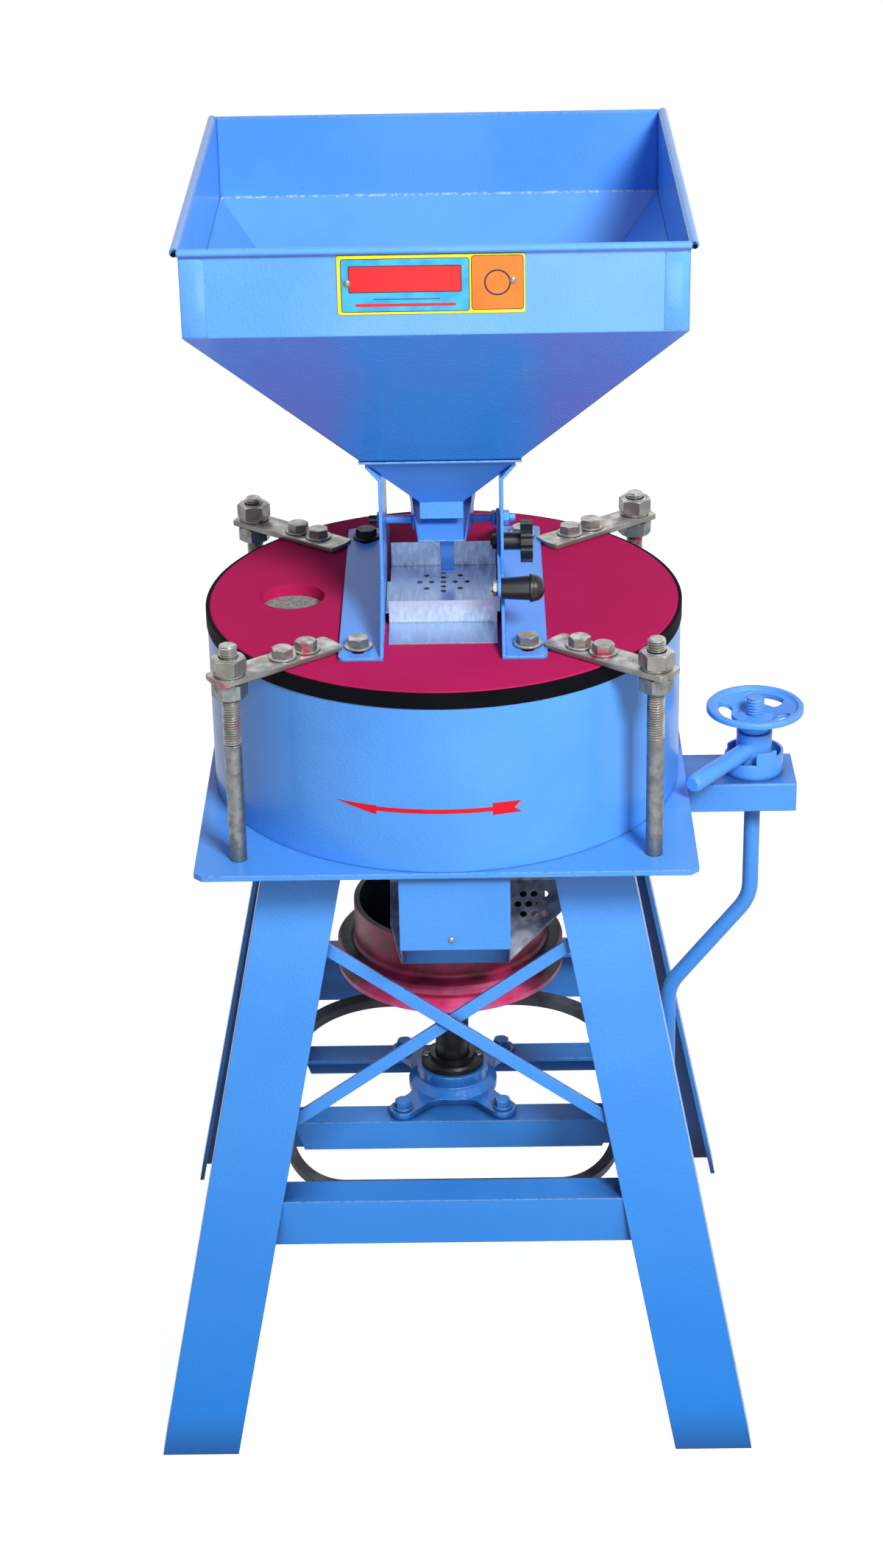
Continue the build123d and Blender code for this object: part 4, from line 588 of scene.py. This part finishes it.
# The drum's arrow is a stencilled red, and the plate's stove enamels are even and glossy.
signal_red = dull("stencilled_signal_red", "e2041d", "d4031b", 0.40, 3.4, 0.20, spread=30, gloss=0.3,
                  radius=0.3, detail=4.0)
yellow_ink = dull("printed_yellow_enamel", "fbea1e", "f7e413", 0.32, 4.0, 0.05, gloss=0.3)
blue_ink = dull("printed_blue_enamel", "3fb2dc", "2c9ccc", 0.30, 4.0, 0.05, spread=18, gloss=0.3)
red_ink = dull("printed_red_enamel", "e3141f", "d9101b", 0.30, 4.0, 0.05, gloss=0.3)
orange_ink = dull("printed_orange_enamel", "f47a1c", "ef6f14", 0.30, 4.0, 0.05, gloss=0.3)
dark_ink = dull("printed_dark_enamel", "2a2440", "231e36", 0.35, 4.0, 0.05, gloss=0.3)
print("inks and solids:", gasket_rubber.name, emery.name, yellow_ink.name)

# %% Dress the frame
finish_of = {
    "blue_paint": blue_enamel, "crimson_paint": lid_paint, "red_paint": pulley_paint,
    "black_rubber": gasket_rubber, "black_plastic": black_plastic, "plated_steel": zinc,
    "black_steel": black_oxide, "galvanised_steel": galvanised, "bare_iron": cast_iron,
    "bearing_steel": ground_steel, "bronze": bronze, "emery_stone": emery,
    "plate_print": yellow_ink,
}
own_finish = {"drive_belt": belt_rubber, "pulley_guard": guard_steel, "hopper_bin": hopper_enamel,
              "hopper_rim": hopper_enamel, "bearing_housing": casting_enamel}
for name, thing in nodes.items():
    for held in thing.material_slots:
        held.material = own_finish.get(name) or finish_of[held.material.name]
print("dressed", len(nodes), "nodes")

# %% [markdown]
# ## From a bmesh to a piece
#
# Every small piece below is built as a bmesh. One helper turns it into an object
# that rides on a body and takes its finish, and another gathers several copies
# into one mesh, because the four nuts of a kind are one piece.

# %% Make a piece
weld = 0.01 * MM  # vertices closer than this are merged


def piece(name, bm, finish, body, smooth=30):
    """An object from a bmesh, riding on a body, with edges over so many degrees kept sharp."""
    mesh = bpy.data.meshes.new(name)
    bm.to_mesh(mesh)
    bm.free()
    made = bpy.data.objects.new(name, mesh)
    bpy.context.scene.collection.objects.link(made)
    for material in (finish if isinstance(finish, list) else [finish]):
        mesh.materials.append(material)
    mesh.shade_smooth()
    mesh.set_sharp_from_angle(angle=math.radians(smooth))
    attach(made, body)
    print(name, len(mesh.polygons), "faces")
    return made


def gathered(parts):
    """Several bmeshes as one, each of them used up."""
    whole = bmesh.new()
    for part in parts:
        spare = bpy.data.meshes.new("spare")
        part.to_mesh(spare)
        part.free()
        whole.from_mesh(spare)
        bpy.data.meshes.remove(spare)
    return whole


print("vertices closer than", weld * 1000, "mm are merged")

# %% Copy and place


def placed(bm, where, turn=0.0, face=0, axis="Z"):
    """A copy of a bmesh turned by degrees about an axis, then moved, with its finish's number."""
    copy = bm.copy()
    bmesh.ops.rotate(copy, verts=copy.verts[:], cent=(0, 0, 0),
                     matrix=Matrix.Rotation(math.radians(turn), 3, axis))
    bmesh.ops.translate(copy, verts=copy.verts[:], vec=where)
    for part in copy.faces:
        part.material_index = face
    return copy


def facing_front(bm, where):
    """A piece that stands on z = 0, laid against a wall that faces the front."""
    return placed(bm, where, 90, axis="X")


def lying(bm, where, face=0):
    """A piece that stands on z = 0, laid along the X axis with its foot at a point."""
    return placed(bm, where, 90, face, "Y")


print("a turn about X faces a piece to the front, and one about Y lays it down")

# %% [markdown]
# ### Basic shapes
#
# Every piece is closed, and may be rounded, cut with a plane, pulled out from a
# flat outline or turned round an axis.

# %% Close, cut and round
on_plane = 1e-7  # vertices this close to a cut lie on it


def tidy(bm):
    """Merges doubles and turns every face outwards."""
    bmesh.ops.remove_doubles(bm, verts=bm.verts[:], dist=weld)
    bmesh.ops.recalc_face_normals(bm, faces=bm.faces[:])
    return bm


def sliced(bm, at, out, clear=True):
    """Cuts a bmesh with a plane, clears what lies out from it, and returns the cut."""
    geom = bm.verts[:] + bm.edges[:] + bm.faces[:]
    return bmesh.ops.bisect_plane(bm, geom=geom, dist=on_plane, plane_co=at, plane_no=out,
                                  clear_outer=clear)["geom_cut"]


def capped(bm):
    """Closes every hole."""
    bmesh.ops.holes_fill(bm, edges=[e for e in bm.edges if e.is_boundary], sides=0)


def rounded(bm, geom, offset, segments, affect="EDGES"):
    """Rounds edges or corners by an offset in mm."""
    bmesh.ops.bevel(bm, geom=geom, offset=offset * MM, segments=segments, profile=0.5,
                    affect=affect, material=-1)


def thickened(bm, shift):
    """Pulls a flat outline out along a vector, so that it becomes a closed plate."""
    grown = bmesh.ops.extrude_face_region(bm, geom=bm.faces[:])
    moved = [part for part in grown["geom"] if isinstance(part, bmesh.types.BMVert)]
    bmesh.ops.translate(bm, verts=moved, vec=shift)
    return tidy(bm)


print("a cut takes up vertices within", on_plane, "m")

# %% Turn rings, bars and heads


def turned(outline, steps=36):
    """A ring or a disc from a closed outline of (radius, height) points."""
    bm = bmesh.new()
    ring = [bm.verts.new((r, 0, z)) for r, z in outline]
    edges = [bm.edges.new((a, b)) for a, b in zip(ring, ring[1:] + ring[:1])]
    bmesh.ops.spin(bm, geom=ring + edges, cent=(0, 0, 0), axis=(0, 0, 1), angle=2 * math.pi,
                   steps=steps, use_merge=True)
    return tidy(bm)


def rod(radius, low, high, steps=36):
    """A plain round bar between two levels."""
    bm = bmesh.new()
    bmesh.ops.create_cone(bm, cap_ends=True, segments=steps, radius1=radius, radius2=radius,
                          depth=high - low, matrix=Matrix.Translation((0, 0, (low + high) / 2)))
    return bm


def dome(radius, height, steps=24):
    """The round head of a rivet or a pan-head screw, standing on z = 0."""
    bm = bmesh.new()
    bmesh.ops.create_uvsphere(bm, u_segments=steps, v_segments=steps // 2, radius=radius)
    sliced(bm, (0, 0, 0), (0, 0, -1))
    capped(bm)
    bmesh.ops.scale(bm, verts=bm.verts[:], vec=(1, 1, height / radius))
    return tidy(bm)


# The head of the name plate's rivets.
rivet = dome(4.2 * MM, 2.2 * MM)
print("a rivet's head has", len(rivet.faces), "faces")

# %% [markdown]
# ## Threads
#
# The four clamp studs are bars with a coarse thread on the upper part, and the
# handwheel's rod ends in a thread too. A thread is one pitch of its outline,
# wound round the axis while it climbs. Every turn meets the next one, and cutting
# both ends square closes the piece. The real pitches are too fine to show, so
# these are drawn coarse.

# %% Wind the threads of the studs
stud_reach = 255 * MM  # from the spindle, along X and along Y
thread_foot = 991 * MM
corners = [(sx, sy) for sx in (-1, 1) for sy in (-1, 1)]
stud_at = {(sx, sy): (axis_x + sx * stud_reach, sy * stud_reach) for sx, sy in corners}
nut_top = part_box("clamp_nuts")[1].z


def thread(low, high, core, crest, pitch, steps=22, nose=2.0):
    """A closed threaded bar between two levels, narrowed at the top over its nose (mm)."""
    bm = bmesh.new()
    # One pitch as (radius, share of the pitch).
    rise = [(core, 0.0), (crest, 0.32), (crest, 0.50), (core, 0.82), (core, 1.0)]
    turns = int((high - low) / pitch) + 3  # the spare turns are cut off
    chain = [bm.verts.new((r, 0.0, low + (z - 1.5) * pitch)) for r, z in rise]
    edges = [bm.edges.new(pair) for pair in zip(chain, chain[1:])]
    bmesh.ops.spin(bm, geom=chain + edges, cent=(0, 0, 0), axis=(0, 0, 1),
                   dvec=(0, 0, pitch / steps), angle=2 * math.pi * turns, steps=steps * turns)
    bmesh.ops.remove_doubles(bm, verts=bm.verts[:], dist=weld)
    for level, side in ((low, -1), (high, 1)):
        sliced(bm, (0, 0, level), (0, 0, side))
    capped(bm)
    nose *= MM
    for vert in bm.verts:
        above = vert.co.z - (high - nose)
        if above > 0:
            vert.co.xy *= 1 - 0.7 * above / crest
    return tidy(bm)


plain_bar = rod(10.6 * MM, deck_top, thread_foot + 1 * MM)
parts = []
for sx, sy in corners:
    above_nut = (16 if sy < 0 else 8) * MM
    where = (*stud_at[sx, sy], 0)
    winding = thread(thread_foot, nut_top + above_nut, 9.3 * MM, 11 * MM, 3.2 * MM)
    parts += [placed(winding, where, 70 * sx), placed(plain_bar, where, face=1)]
studs = piece("threaded_clamp_studs", gathered(parts), [zinc, mill_bar], "stand", 50)
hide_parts("clamp_studs")

# %% Thread the handwheel's rod
# The thread starts inside the wheel's hub, above the reach of the release lever.
rod_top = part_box("adjusting_rod")[1].z
wheel_foot, wheel_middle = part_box("handwheel")[0].z, middle("handwheel")
winding = thread(wheel_foot + 12 * MM, rod_top + 0.8 * MM, 10.4 * MM, 12 * MM, 4.0 * MM)
piece("rod_thread", placed(winding, (*wheel_middle.xy, 0)), blue_enamel, "rod",
      50)

# %% [markdown]
# ## Nuts, bolts and washers
#
# A forged hexagon has its corners turned off at about thirty degrees, which is
# why its flats end in curves. Slicing a hexagonal prism with many tilted planes,
# each closed again, gives those curves. Nuts get it on both ends and bolt heads
# on top only. Washers are turned rings with softened rims.

# %% Cut hexagons and washers


def hexagon(width, height, both=False, sides=30, slope=30, bite=0.965):
    """A hexagonal prism on z = 0 whose corners are turned off at a slope."""
    bm = bmesh.new()
    radius = width / math.sqrt(3)
    bmesh.ops.create_cone(bm, cap_ends=True, segments=6, radius1=radius, radius2=radius,
                          depth=height, matrix=Matrix.Translation((0, 0, height / 2)))
    tilt = math.radians(slope)
    for sign in ((1, -1) if both else (1,)):
        for step in range(sides):
            round_at = 2 * math.pi * (step + 0.5) / sides
            out = Vector((math.cos(round_at), math.sin(round_at), 0))
            at = out * (width / 2 * bite) + Vector((0, 0, height if sign > 0 else 0))
            cut = sliced(bm, at, out * math.sin(tilt) + Vector((0, 0, sign * math.cos(tilt))))
            rim = [e for e in cut if isinstance(e, bmesh.types.BMEdge)]
            if rim:
                bmesh.ops.contextual_create(bm, geom=rim)
    return tidy(bm)


def washer(outside, inside, thickness):
    """A flat ring with softened rims."""
    soft = min(0.6 * MM, thickness / 4)
    return turned([(inside, 0), (outside - soft, 0), (outside, soft), (outside, thickness - soft),
                   (outside - soft, thickness), (inside, thickness)])


# The heads of the arms' and brackets' bolts are 24 mm across their flats.
washer_height = 3 * MM
bolt_head = hexagon(24 * MM, 10 * MM)
bolt_washer = washer(17.5 * MM, 8.5 * MM, washer_height)
print("a bolt's head has", len(bolt_head.faces), "faces")

# %% [markdown]
# ### The lid's clamps
#
# Each arm is sheared from flat bar: its ends are a little bowed and its lower
# edges were rolled by the shears. It reaches from its stud in over the lid, where
# two bolts hold it. A nut above and one below clamp it on the stud, and each came
# to rest at an angle of its own.

# %% Shear the arms
arm_lean = math.radians(38)
arm_length, arm_width = 174 * MM, 42 * MM
arm_thickness = arm_top - lid_top
arm_offset = 66 * MM  # from the stud to the arm's middle
bow = 1.046

bar = bmesh.new()
bmesh.ops.create_grid(bar, x_segments=2, y_segments=2, size=0.5)
bmesh.ops.scale(bar, verts=bar.verts[:], vec=(arm_length, arm_width, 1))
for vert in bar.verts:
    if abs(vert.co.x) > 0.4 * arm_length and abs(vert.co.y) < 1 * MM:
        vert.co.x *= bow
bmesh.ops.dissolve_limit(bar, angle_limit=0.01, verts=bar.verts[:], edges=bar.edges[:])
rounded(bar, [v for v in bar.verts if abs(v.co.y) < 1 * MM], 13, 6, "VERTICES")
rounded(bar, [v for v in bar.verts if abs(v.co.y) > arm_width / 2 - 0.1 * MM], 4, 4, "VERTICES")
thickened(bar, (0, 0, arm_thickness))
rounded(bar, [e for e in bar.edges if all(v.co.z < 1 * MM for v in e.verts)], 2.6, 3)
upper = [e for e in bar.edges if all(v.co.z > arm_thickness - weld for v in e.verts)]
rounded(bar, [e for e in upper if len(e.link_faces) == 2], 0.7, 2)
bmesh.ops.translate(bar, verts=bar.verts[:], vec=(arm_offset, 0, lid_top))
parts = []
for sx, sy in corners:
    inwards = math.degrees(math.atan2(-sy * math.sin(arm_lean), -sx * math.cos(arm_lean)))
    parts.append(placed(bar, (*stud_at[sx, sy], 0), inwards))
bars = piece("sheared_clamp_arms", gathered(parts), zinc, "stand")
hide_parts("clamp_arms")

# %% Clamp the arms with nuts
nut_height = 20 * MM
lock_nut = hexagon(38 * MM, nut_height, both=True)
nut_washer = washer(19 * MM, 11.3 * MM, washer_height)
nut_ring = turned([(10 * MM, 0), (15.5 * MM, 0), (15.0 * MM, 0.5 * MM), (12.6 * MM, 0.5 * MM),
                   (10 * MM, -1.2 * MM)])
parts = []
# The lower nut of each pair takes the darker drawn steel: painted shade under the arm.
for (x, y), lean in zip(stud_at.values(), (22, 34, 26, 14)):
    parts += [placed(lock_nut, (x, y, nut_top - nut_height), lean),
              placed(nut_ring, (x, y, nut_top), lean),
              placed(lock_nut, (x, y, lid_top - nut_height), lean + 17, 1),
              placed(nut_washer, (x, y, arm_top))]
nuts = piece("chamfered_clamp_nuts", gathered(parts), [zinc, mill_bar], "stand", 22)
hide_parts("clamp_nuts")

# %% Bolt the arms down


def bolt(where, turn, head, ring, shank, face=0):
    """A bolt on its washer, with its shank below the seat."""
    x, y, seat = where
    return [placed(ring, (x, y, seat), turn, face),
            placed(head, (x, y, seat + washer_height), turn, face),
            placed(shank, (x, y, seat), turn, face)]


# Two bolts in each arm, 78 and 113 mm in from its stud.
shank = rod(7.9 * MM, -21 * MM, 1 * MM, 24)
parts = []
for number, (sx, sy) in enumerate(corners):
    for along, turn in ((78, 12 + 37 * number), (113, 41 + 23 * number)):
        x = axis_x + sx * (stud_reach - along * MM * math.cos(arm_lean))
        y = sy * (stud_reach - along * MM * math.sin(arm_lean))
        parts += bolt((x, y, arm_top), turn, bolt_head, bolt_washer, shank)
arm_bolts = piece("clamp_arm_bolts_fitted", gathered(parts), zinc, "stand", 22)
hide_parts("clamp_arm_bolts")

# %% Bolt the hopper's brackets down
# The rear bolt on the left is a spare one in black.
bracket_foot = 4 * MM
shank = rod(7.9 * MM, -17 * MM, 1 * MM, 24)
parts = []
for x, y, turn, face in ((-103, -169, 8, 0), (-103, 192, 33, 1), (103, -169, 20, 0), (103, 192, 5, 0)):
    parts += bolt((axis_x + x * MM, y * MM, lid_top + bracket_foot), turn, bolt_head, bolt_washer,
                  shank, face)
foot_bolts = piece("bracket_bolts_fitted", gathered(parts), [zinc, black_oxide], "stand",
                   22)
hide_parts("bracket_bolts")

# %% Bolt the bearing housing, painted over with the stand
lug_height = 9 * MM
lug_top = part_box("front_bearing_rail")[1].z + lug_height
lug_across, lug_along = 67 * MM, 78 * MM  # from the spindle
small_head = hexagon(19 * MM, 9.6 * MM)
small_washer = washer(13 * MM, 6.3 * MM, washer_height)
shank = rod(5.9 * MM, -20 * MM, 1 * MM, 20)
parts = []
for number, (sx, sy) in enumerate(corners):
    parts += bolt((axis_x + sx * lug_across, sy * lug_along, lug_top), 15 + 31 * number,
                  small_head, small_washer, shank)
housing_bolts = piece("housing_bolts_painted", gathered(parts), blue_enamel, "stand", 22)
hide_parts("housing_bolts")

# %% [markdown]
# ## Rivets and screws
#
# Two blind rivets hold the name plate, one small screw sits in the spout, and two
# round screws hold the bearing's cap. Each is half a sphere, flattened.

# %% Set the round heads
plate_low, plate_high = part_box("name_plate")
# Across and up from the plate's lower left corner, in mm.
parts = [facing_front(rivet, (plate_low.x + x * MM, plate_low.y, plate_low.z + z * MM))
         for x, z in ((11, 36), (195.5, 37))]
piece("plate_rivets", gathered(parts), zinc, "stand")

spout_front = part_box("flour_spout")[0].y
screw_right, screw_level = 5 * MM, 736 * MM
screw = facing_front(dome(4.0 * MM, 2.6 * MM), (axis_x + screw_right, spout_front, screw_level))
piece("spout_screw", screw, zinc, "stand")

cap_height, cap_reach = 10 * MM, 35.5 * MM
cap_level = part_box("bearing_housing")[1].z + cap_height
cap_screw = dome(5.0 * MM, 3.4 * MM)
parts = [placed(cap_screw, (axis_x + side * cap_reach, 0, cap_level)) for side in (-1, 1)]
piece("bearing_cap_screws", gathered(parts), mill_bar, "stand")

# %% [markdown]
# ## Laps, grips and ends
#
# The hopper's side sheets are folded round its front and rear walls, so a lap as
# thick as the sheet shows near each corner. The ends of its rolled rim's tube are
# closed by black discs, painted shade for the dark inside. The feed lever's grip
# is moulded and widens before its round end.

# %% Fold the hopper's corner laps
bin_low, bin_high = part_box("hopper_bin")
lap_width, lap_thickness = 28 * MM, 0.8 * MM
lap_inset = 14.4 * MM  # from the corner to the lap's middle
lap_top = bin_high.z - 12 * MM  # below the rim's tube

lap = bmesh.new()
bmesh.ops.create_cube(lap, size=1.0)
bmesh.ops.scale(lap, verts=lap.verts[:], vec=(lap_width, lap_thickness, lap_top - fold_level))
rounded(lap, lap.edges[:], 0.3, 2)
parts = []
for side, corner_x in ((-1, bin_low.x), (1, bin_high.x)):
    for wall in (bin_low.y, bin_high.y):
        parts.append(placed(lap, (corner_x - side * lap_inset, wall,
                                  (lap_top + fold_level) / 2 + 1 * MM)))
piece("hopper_corner_laps", gathered(parts), lap_enamel, "stand")

# %% Close the ends of the rim's tube with painted shade
rim_low, rim_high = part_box("hopper_rim")
tube_radius = 5.2 * MM
# Black discs in the tube's ends: painted shade for its dark inside.
dark = rod(2.9 * MM, 0, 0.4 * MM, 20)
parts = [facing_front(dark, (x, rim_low.y + 0.3 * MM, rim_high.z - tube_radius))
         for x in (rim_low.x + tube_radius, rim_high.x - tube_radius)]
piece("rim_tube_painted_shade", gathered(parts), gasket_rubber, "stand")

# %% Turn the grip of the feed lever
grip_low, grip_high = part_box("feed_handle")
reach = grip_high.x - grip_low.x
drawn = 53.8  # the outline's length in mm, fitted to the grip's box
profile = [(0, 0), (12.2, 0), (13.0, 0.8), (14.0, 18), (14.9, 34.0), (14.9, 34.6), (17.0, 35.2),
           (17.3, 36.4), (17.3, 38.6), (16.6, 39.6), (16.2, 42.4), (14.8, 46.4), (12.0, 50.0),
           (8.0, 52.4), (4.0, 53.5), (0, drawn)]
grip = lying(turned([(r * MM, z / drawn * reach) for r, z in profile], 40),
             (grip_low.x, *middle("feed_handle").yz))
grip = piece("feed_lever_grip", grip, black_plastic, "feed", 40)
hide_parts("feed_handle")

# %% [markdown]
# ## The tray's punched holes
#
# A punch leaves a burr round each hole, and it rusts dark. Each is a thin turned
# ring, and they lie in three circles round the middle of the tray.

# %% Ring the holes
tray_height, hole_spacing = 15 * MM, 15 * MM
tray_level, tray_middle = lid_top + tray_height, 7 * MM
burr = turned([(2.9 * MM, -0.8 * MM), (3.7 * MM, 0), (3.7 * MM, 0.12 * MM), (3.2 * MM, 0.35 * MM),
               (2.9 * MM, 0.3 * MM)], 18)
parts = []
for circle, count in enumerate((1, 4, 8)):
    for number in range(count):
        around, out = 2 * math.pi * number / count, hole_spacing * circle
        parts.append(placed(burr, (axis_x + out * math.cos(around),
                                   tray_middle + out * math.sin(around), tray_level)))
piece("tray_hole_burrs", gathered(parts), black_oxide, "stand")

# %% Fold the tray's side tabs
# The outline of the right one, out from the spindle and back from it, in mm.
outline = [(54, -92), (71.2, -92), (71.2, 8), (66, 8), (54, -14)]
sheet_thickness = 1.2 * MM
tabs = []
for side in (-1, 1):
    bm = bmesh.new()
    bm.faces.new([bm.verts.new((axis_x + side * x * MM, y * MM, tray_level)) for x, y in outline])
    tabs.append(thickened(bm, (0, 0, sheet_thickness)))
piece("tray_side_tabs", gathered(tabs), galvanised, "stand")

# %% [markdown]
# ## The pivot of the chute
#
# The chute swings on a threaded rod with a nut outside each bracket. The rod and
# its nuts were sprayed with the stand, but its left end was dipped black. The
# lever's two studs carry plain zinc nuts on their inner side.

# %% Thread the pivot
rod_low, rod_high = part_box("pivot_rod")
rod_at = middle("pivot_rod").yz
dipped = 12 * MM
pivot = thread(0, rod_high.x - rod_low.x - dipped, 4.9 * MM, 5.5 * MM, 2.0 * MM, steps=16, nose=1.0)
black_end = rod(5.5 * MM, 0, dipped, 24)
parts = [lying(pivot, (rod_low.x + dipped, *rod_at)), lying(black_end, (rod_low.x, *rod_at), 1)]
pivot = piece("threaded_pivot_rod", gathered(parts), [blue_enamel, black_plastic], "feed",
              50)
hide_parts("pivot_rod")

# %% Set the nuts and studs of the feed
thin, thick = 6 * MM, 8 * MM  # heights of the nuts
feed_nut = hexagon(17 * MM, thin, both=True)
thick_nut = hexagon(17 * MM, thick, both=True)
stud = rod(5 * MM, 0, 30 * MM, 24)
lever_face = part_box("feed_lever")[0].x
left_nut_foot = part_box("feed_fasteners")[0].x
right_nut_foot = 2 * axis_x - left_nut_foot - thin
nut_x, stud_x = lever_face - thin, lever_face - 8 * MM
knob_at, grip_at = middle("lock_knob").yz, middle("feed_handle").yz
parts = [lying(feed_nut, (left_nut_foot, *rod_at), 1), lying(thick_nut, (right_nut_foot, *rod_at), 1),
         lying(feed_nut, (nut_x, *rod_at), 1),
         lying(feed_nut, (nut_x, *grip_at)), lying(stud, (stud_x, *grip_at)),
         lying(feed_nut, (nut_x, *knob_at), 2), lying(stud, (stud_x, *knob_at), 2)]
nuts = piece("feed_nuts_and_studs", gathered(parts), [zinc, blue_enamel, black_oxide], "feed",
             22)
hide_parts("feed_fasteners")

# %% [markdown]
# ## The name plate's print
#
# The plate is an enamelled strip with a yellow ground. On it lie a blue panel
# with a red bar and an orange panel with a plain ring. It carries no words here.
# Each field is a rectangle with rounded corners, a fraction of a millimetre thick.

# %% Print the fields


def field(left, top, width, height, corner, lift):
    """A thin field of ink, placed from the plate's upper left corner, all in mm."""
    bm = bmesh.new()
    bmesh.ops.create_grid(bm, x_segments=1, y_segments=1, size=0.5)
    bmesh.ops.scale(bm, verts=bm.verts[:], vec=(width * MM, height * MM, 1))
    rounded(bm, bm.verts[:], corner, 5, "VERTICES")
    thickened(bm, (0, 0, lift * MM))
    return facing_front(bm, (plate_low.x + (left + width / 2) * MM, plate_low.y,
                             plate_high.z - (top + height / 2) * MM))


plate_fields = {
    "plate_blue_outline": (dark_ink, 3.9, 3.8, 143.6, 61.6, 3.2, 0.10),
    "plate_blue_panel": (blue_ink, 4.7, 4.6, 142.0, 60.0, 2.6, 0.16),
    "plate_red_outline": (dark_ink, 12.4, 12.0, 126.2, 31.0, 1.6, 0.22),
    "plate_red_bar": (red_ink, 13.4, 13.0, 124.2, 29.0, 1.2, 0.28),
    "plate_orange_outline": (dark_ink, 149.2, 1.7, 58.4, 62.6, 3.4, 0.10),
    "plate_orange_panel": (orange_ink, 150.0, 2.5, 56.8, 61.0, 2.8, 0.16),
    "plate_thin_rule": (dark_ink, 40.0, 50.0, 74.0, 0.9, 0.2, 0.22),
    "plate_low_rule": (red_ink, 20.0, 55.5, 112.0, 3.4, 0.8, 0.22),
}
for name, (ink, *measures) in plate_fields.items():
    piece(name, field(*measures), ink, "stand")

# A ring in the middle of the orange panel.
ring_right, ring_up, lift = 178.4 * MM, 35 * MM, 0.24 * MM
ring = turned([(13 * MM, 0), (15 * MM, 0), (15 * MM, lift), (13 * MM, lift)], 48)
ring = facing_front(ring, (plate_low.x + ring_right, plate_low.y, plate_low.z + ring_up))
piece("plate_plain_ring", ring, dark_ink, "stand")

# %% [markdown]
# ## The arrow on the drum
#
# A stencilled arrow shows which way the stone turns. It is drawn flat, sliced
# into narrow strips, and rolled round the drum: a distance becomes an angle.

# %% Roll the arrow on
drum_low, drum_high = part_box("casing_drum")
drum_radius = (drum_high.x - drum_low.x) / 2
arrow_level, strip = 918 * MM, 6 * MM
gap, depth = 0.02 * MM, 0.25 * MM  # between drum and paint, and of the paint
outline = [(-136, 4.5), (-84, -8), (-84, -2.8), (58, -2.8), (58, -8), (94, -7.5), (85, -1),
           (94, 7.5), (58, 8), (58, 2.8), (-84, 2.8), (-84, 4)]
bm = bmesh.new()
bm.faces.new([bm.verts.new((x * MM, 0, z * MM)) for x, z in outline])
for step in range(-23, 16):
    sliced(bm, (step * strip, 0, 0), (1, 0, 0), clear=False)
thickened(bm, (0, -depth, 0))
for vert in bm.verts:
    reach, angle = drum_radius + gap - vert.co.y, vert.co.x / drum_radius
    vert.co.x = axis_x + reach * math.sin(angle)
    vert.co.y = -reach * math.cos(angle)
    vert.co.z += arrow_level
piece("drum_arrow", bm, signal_red, "stand")
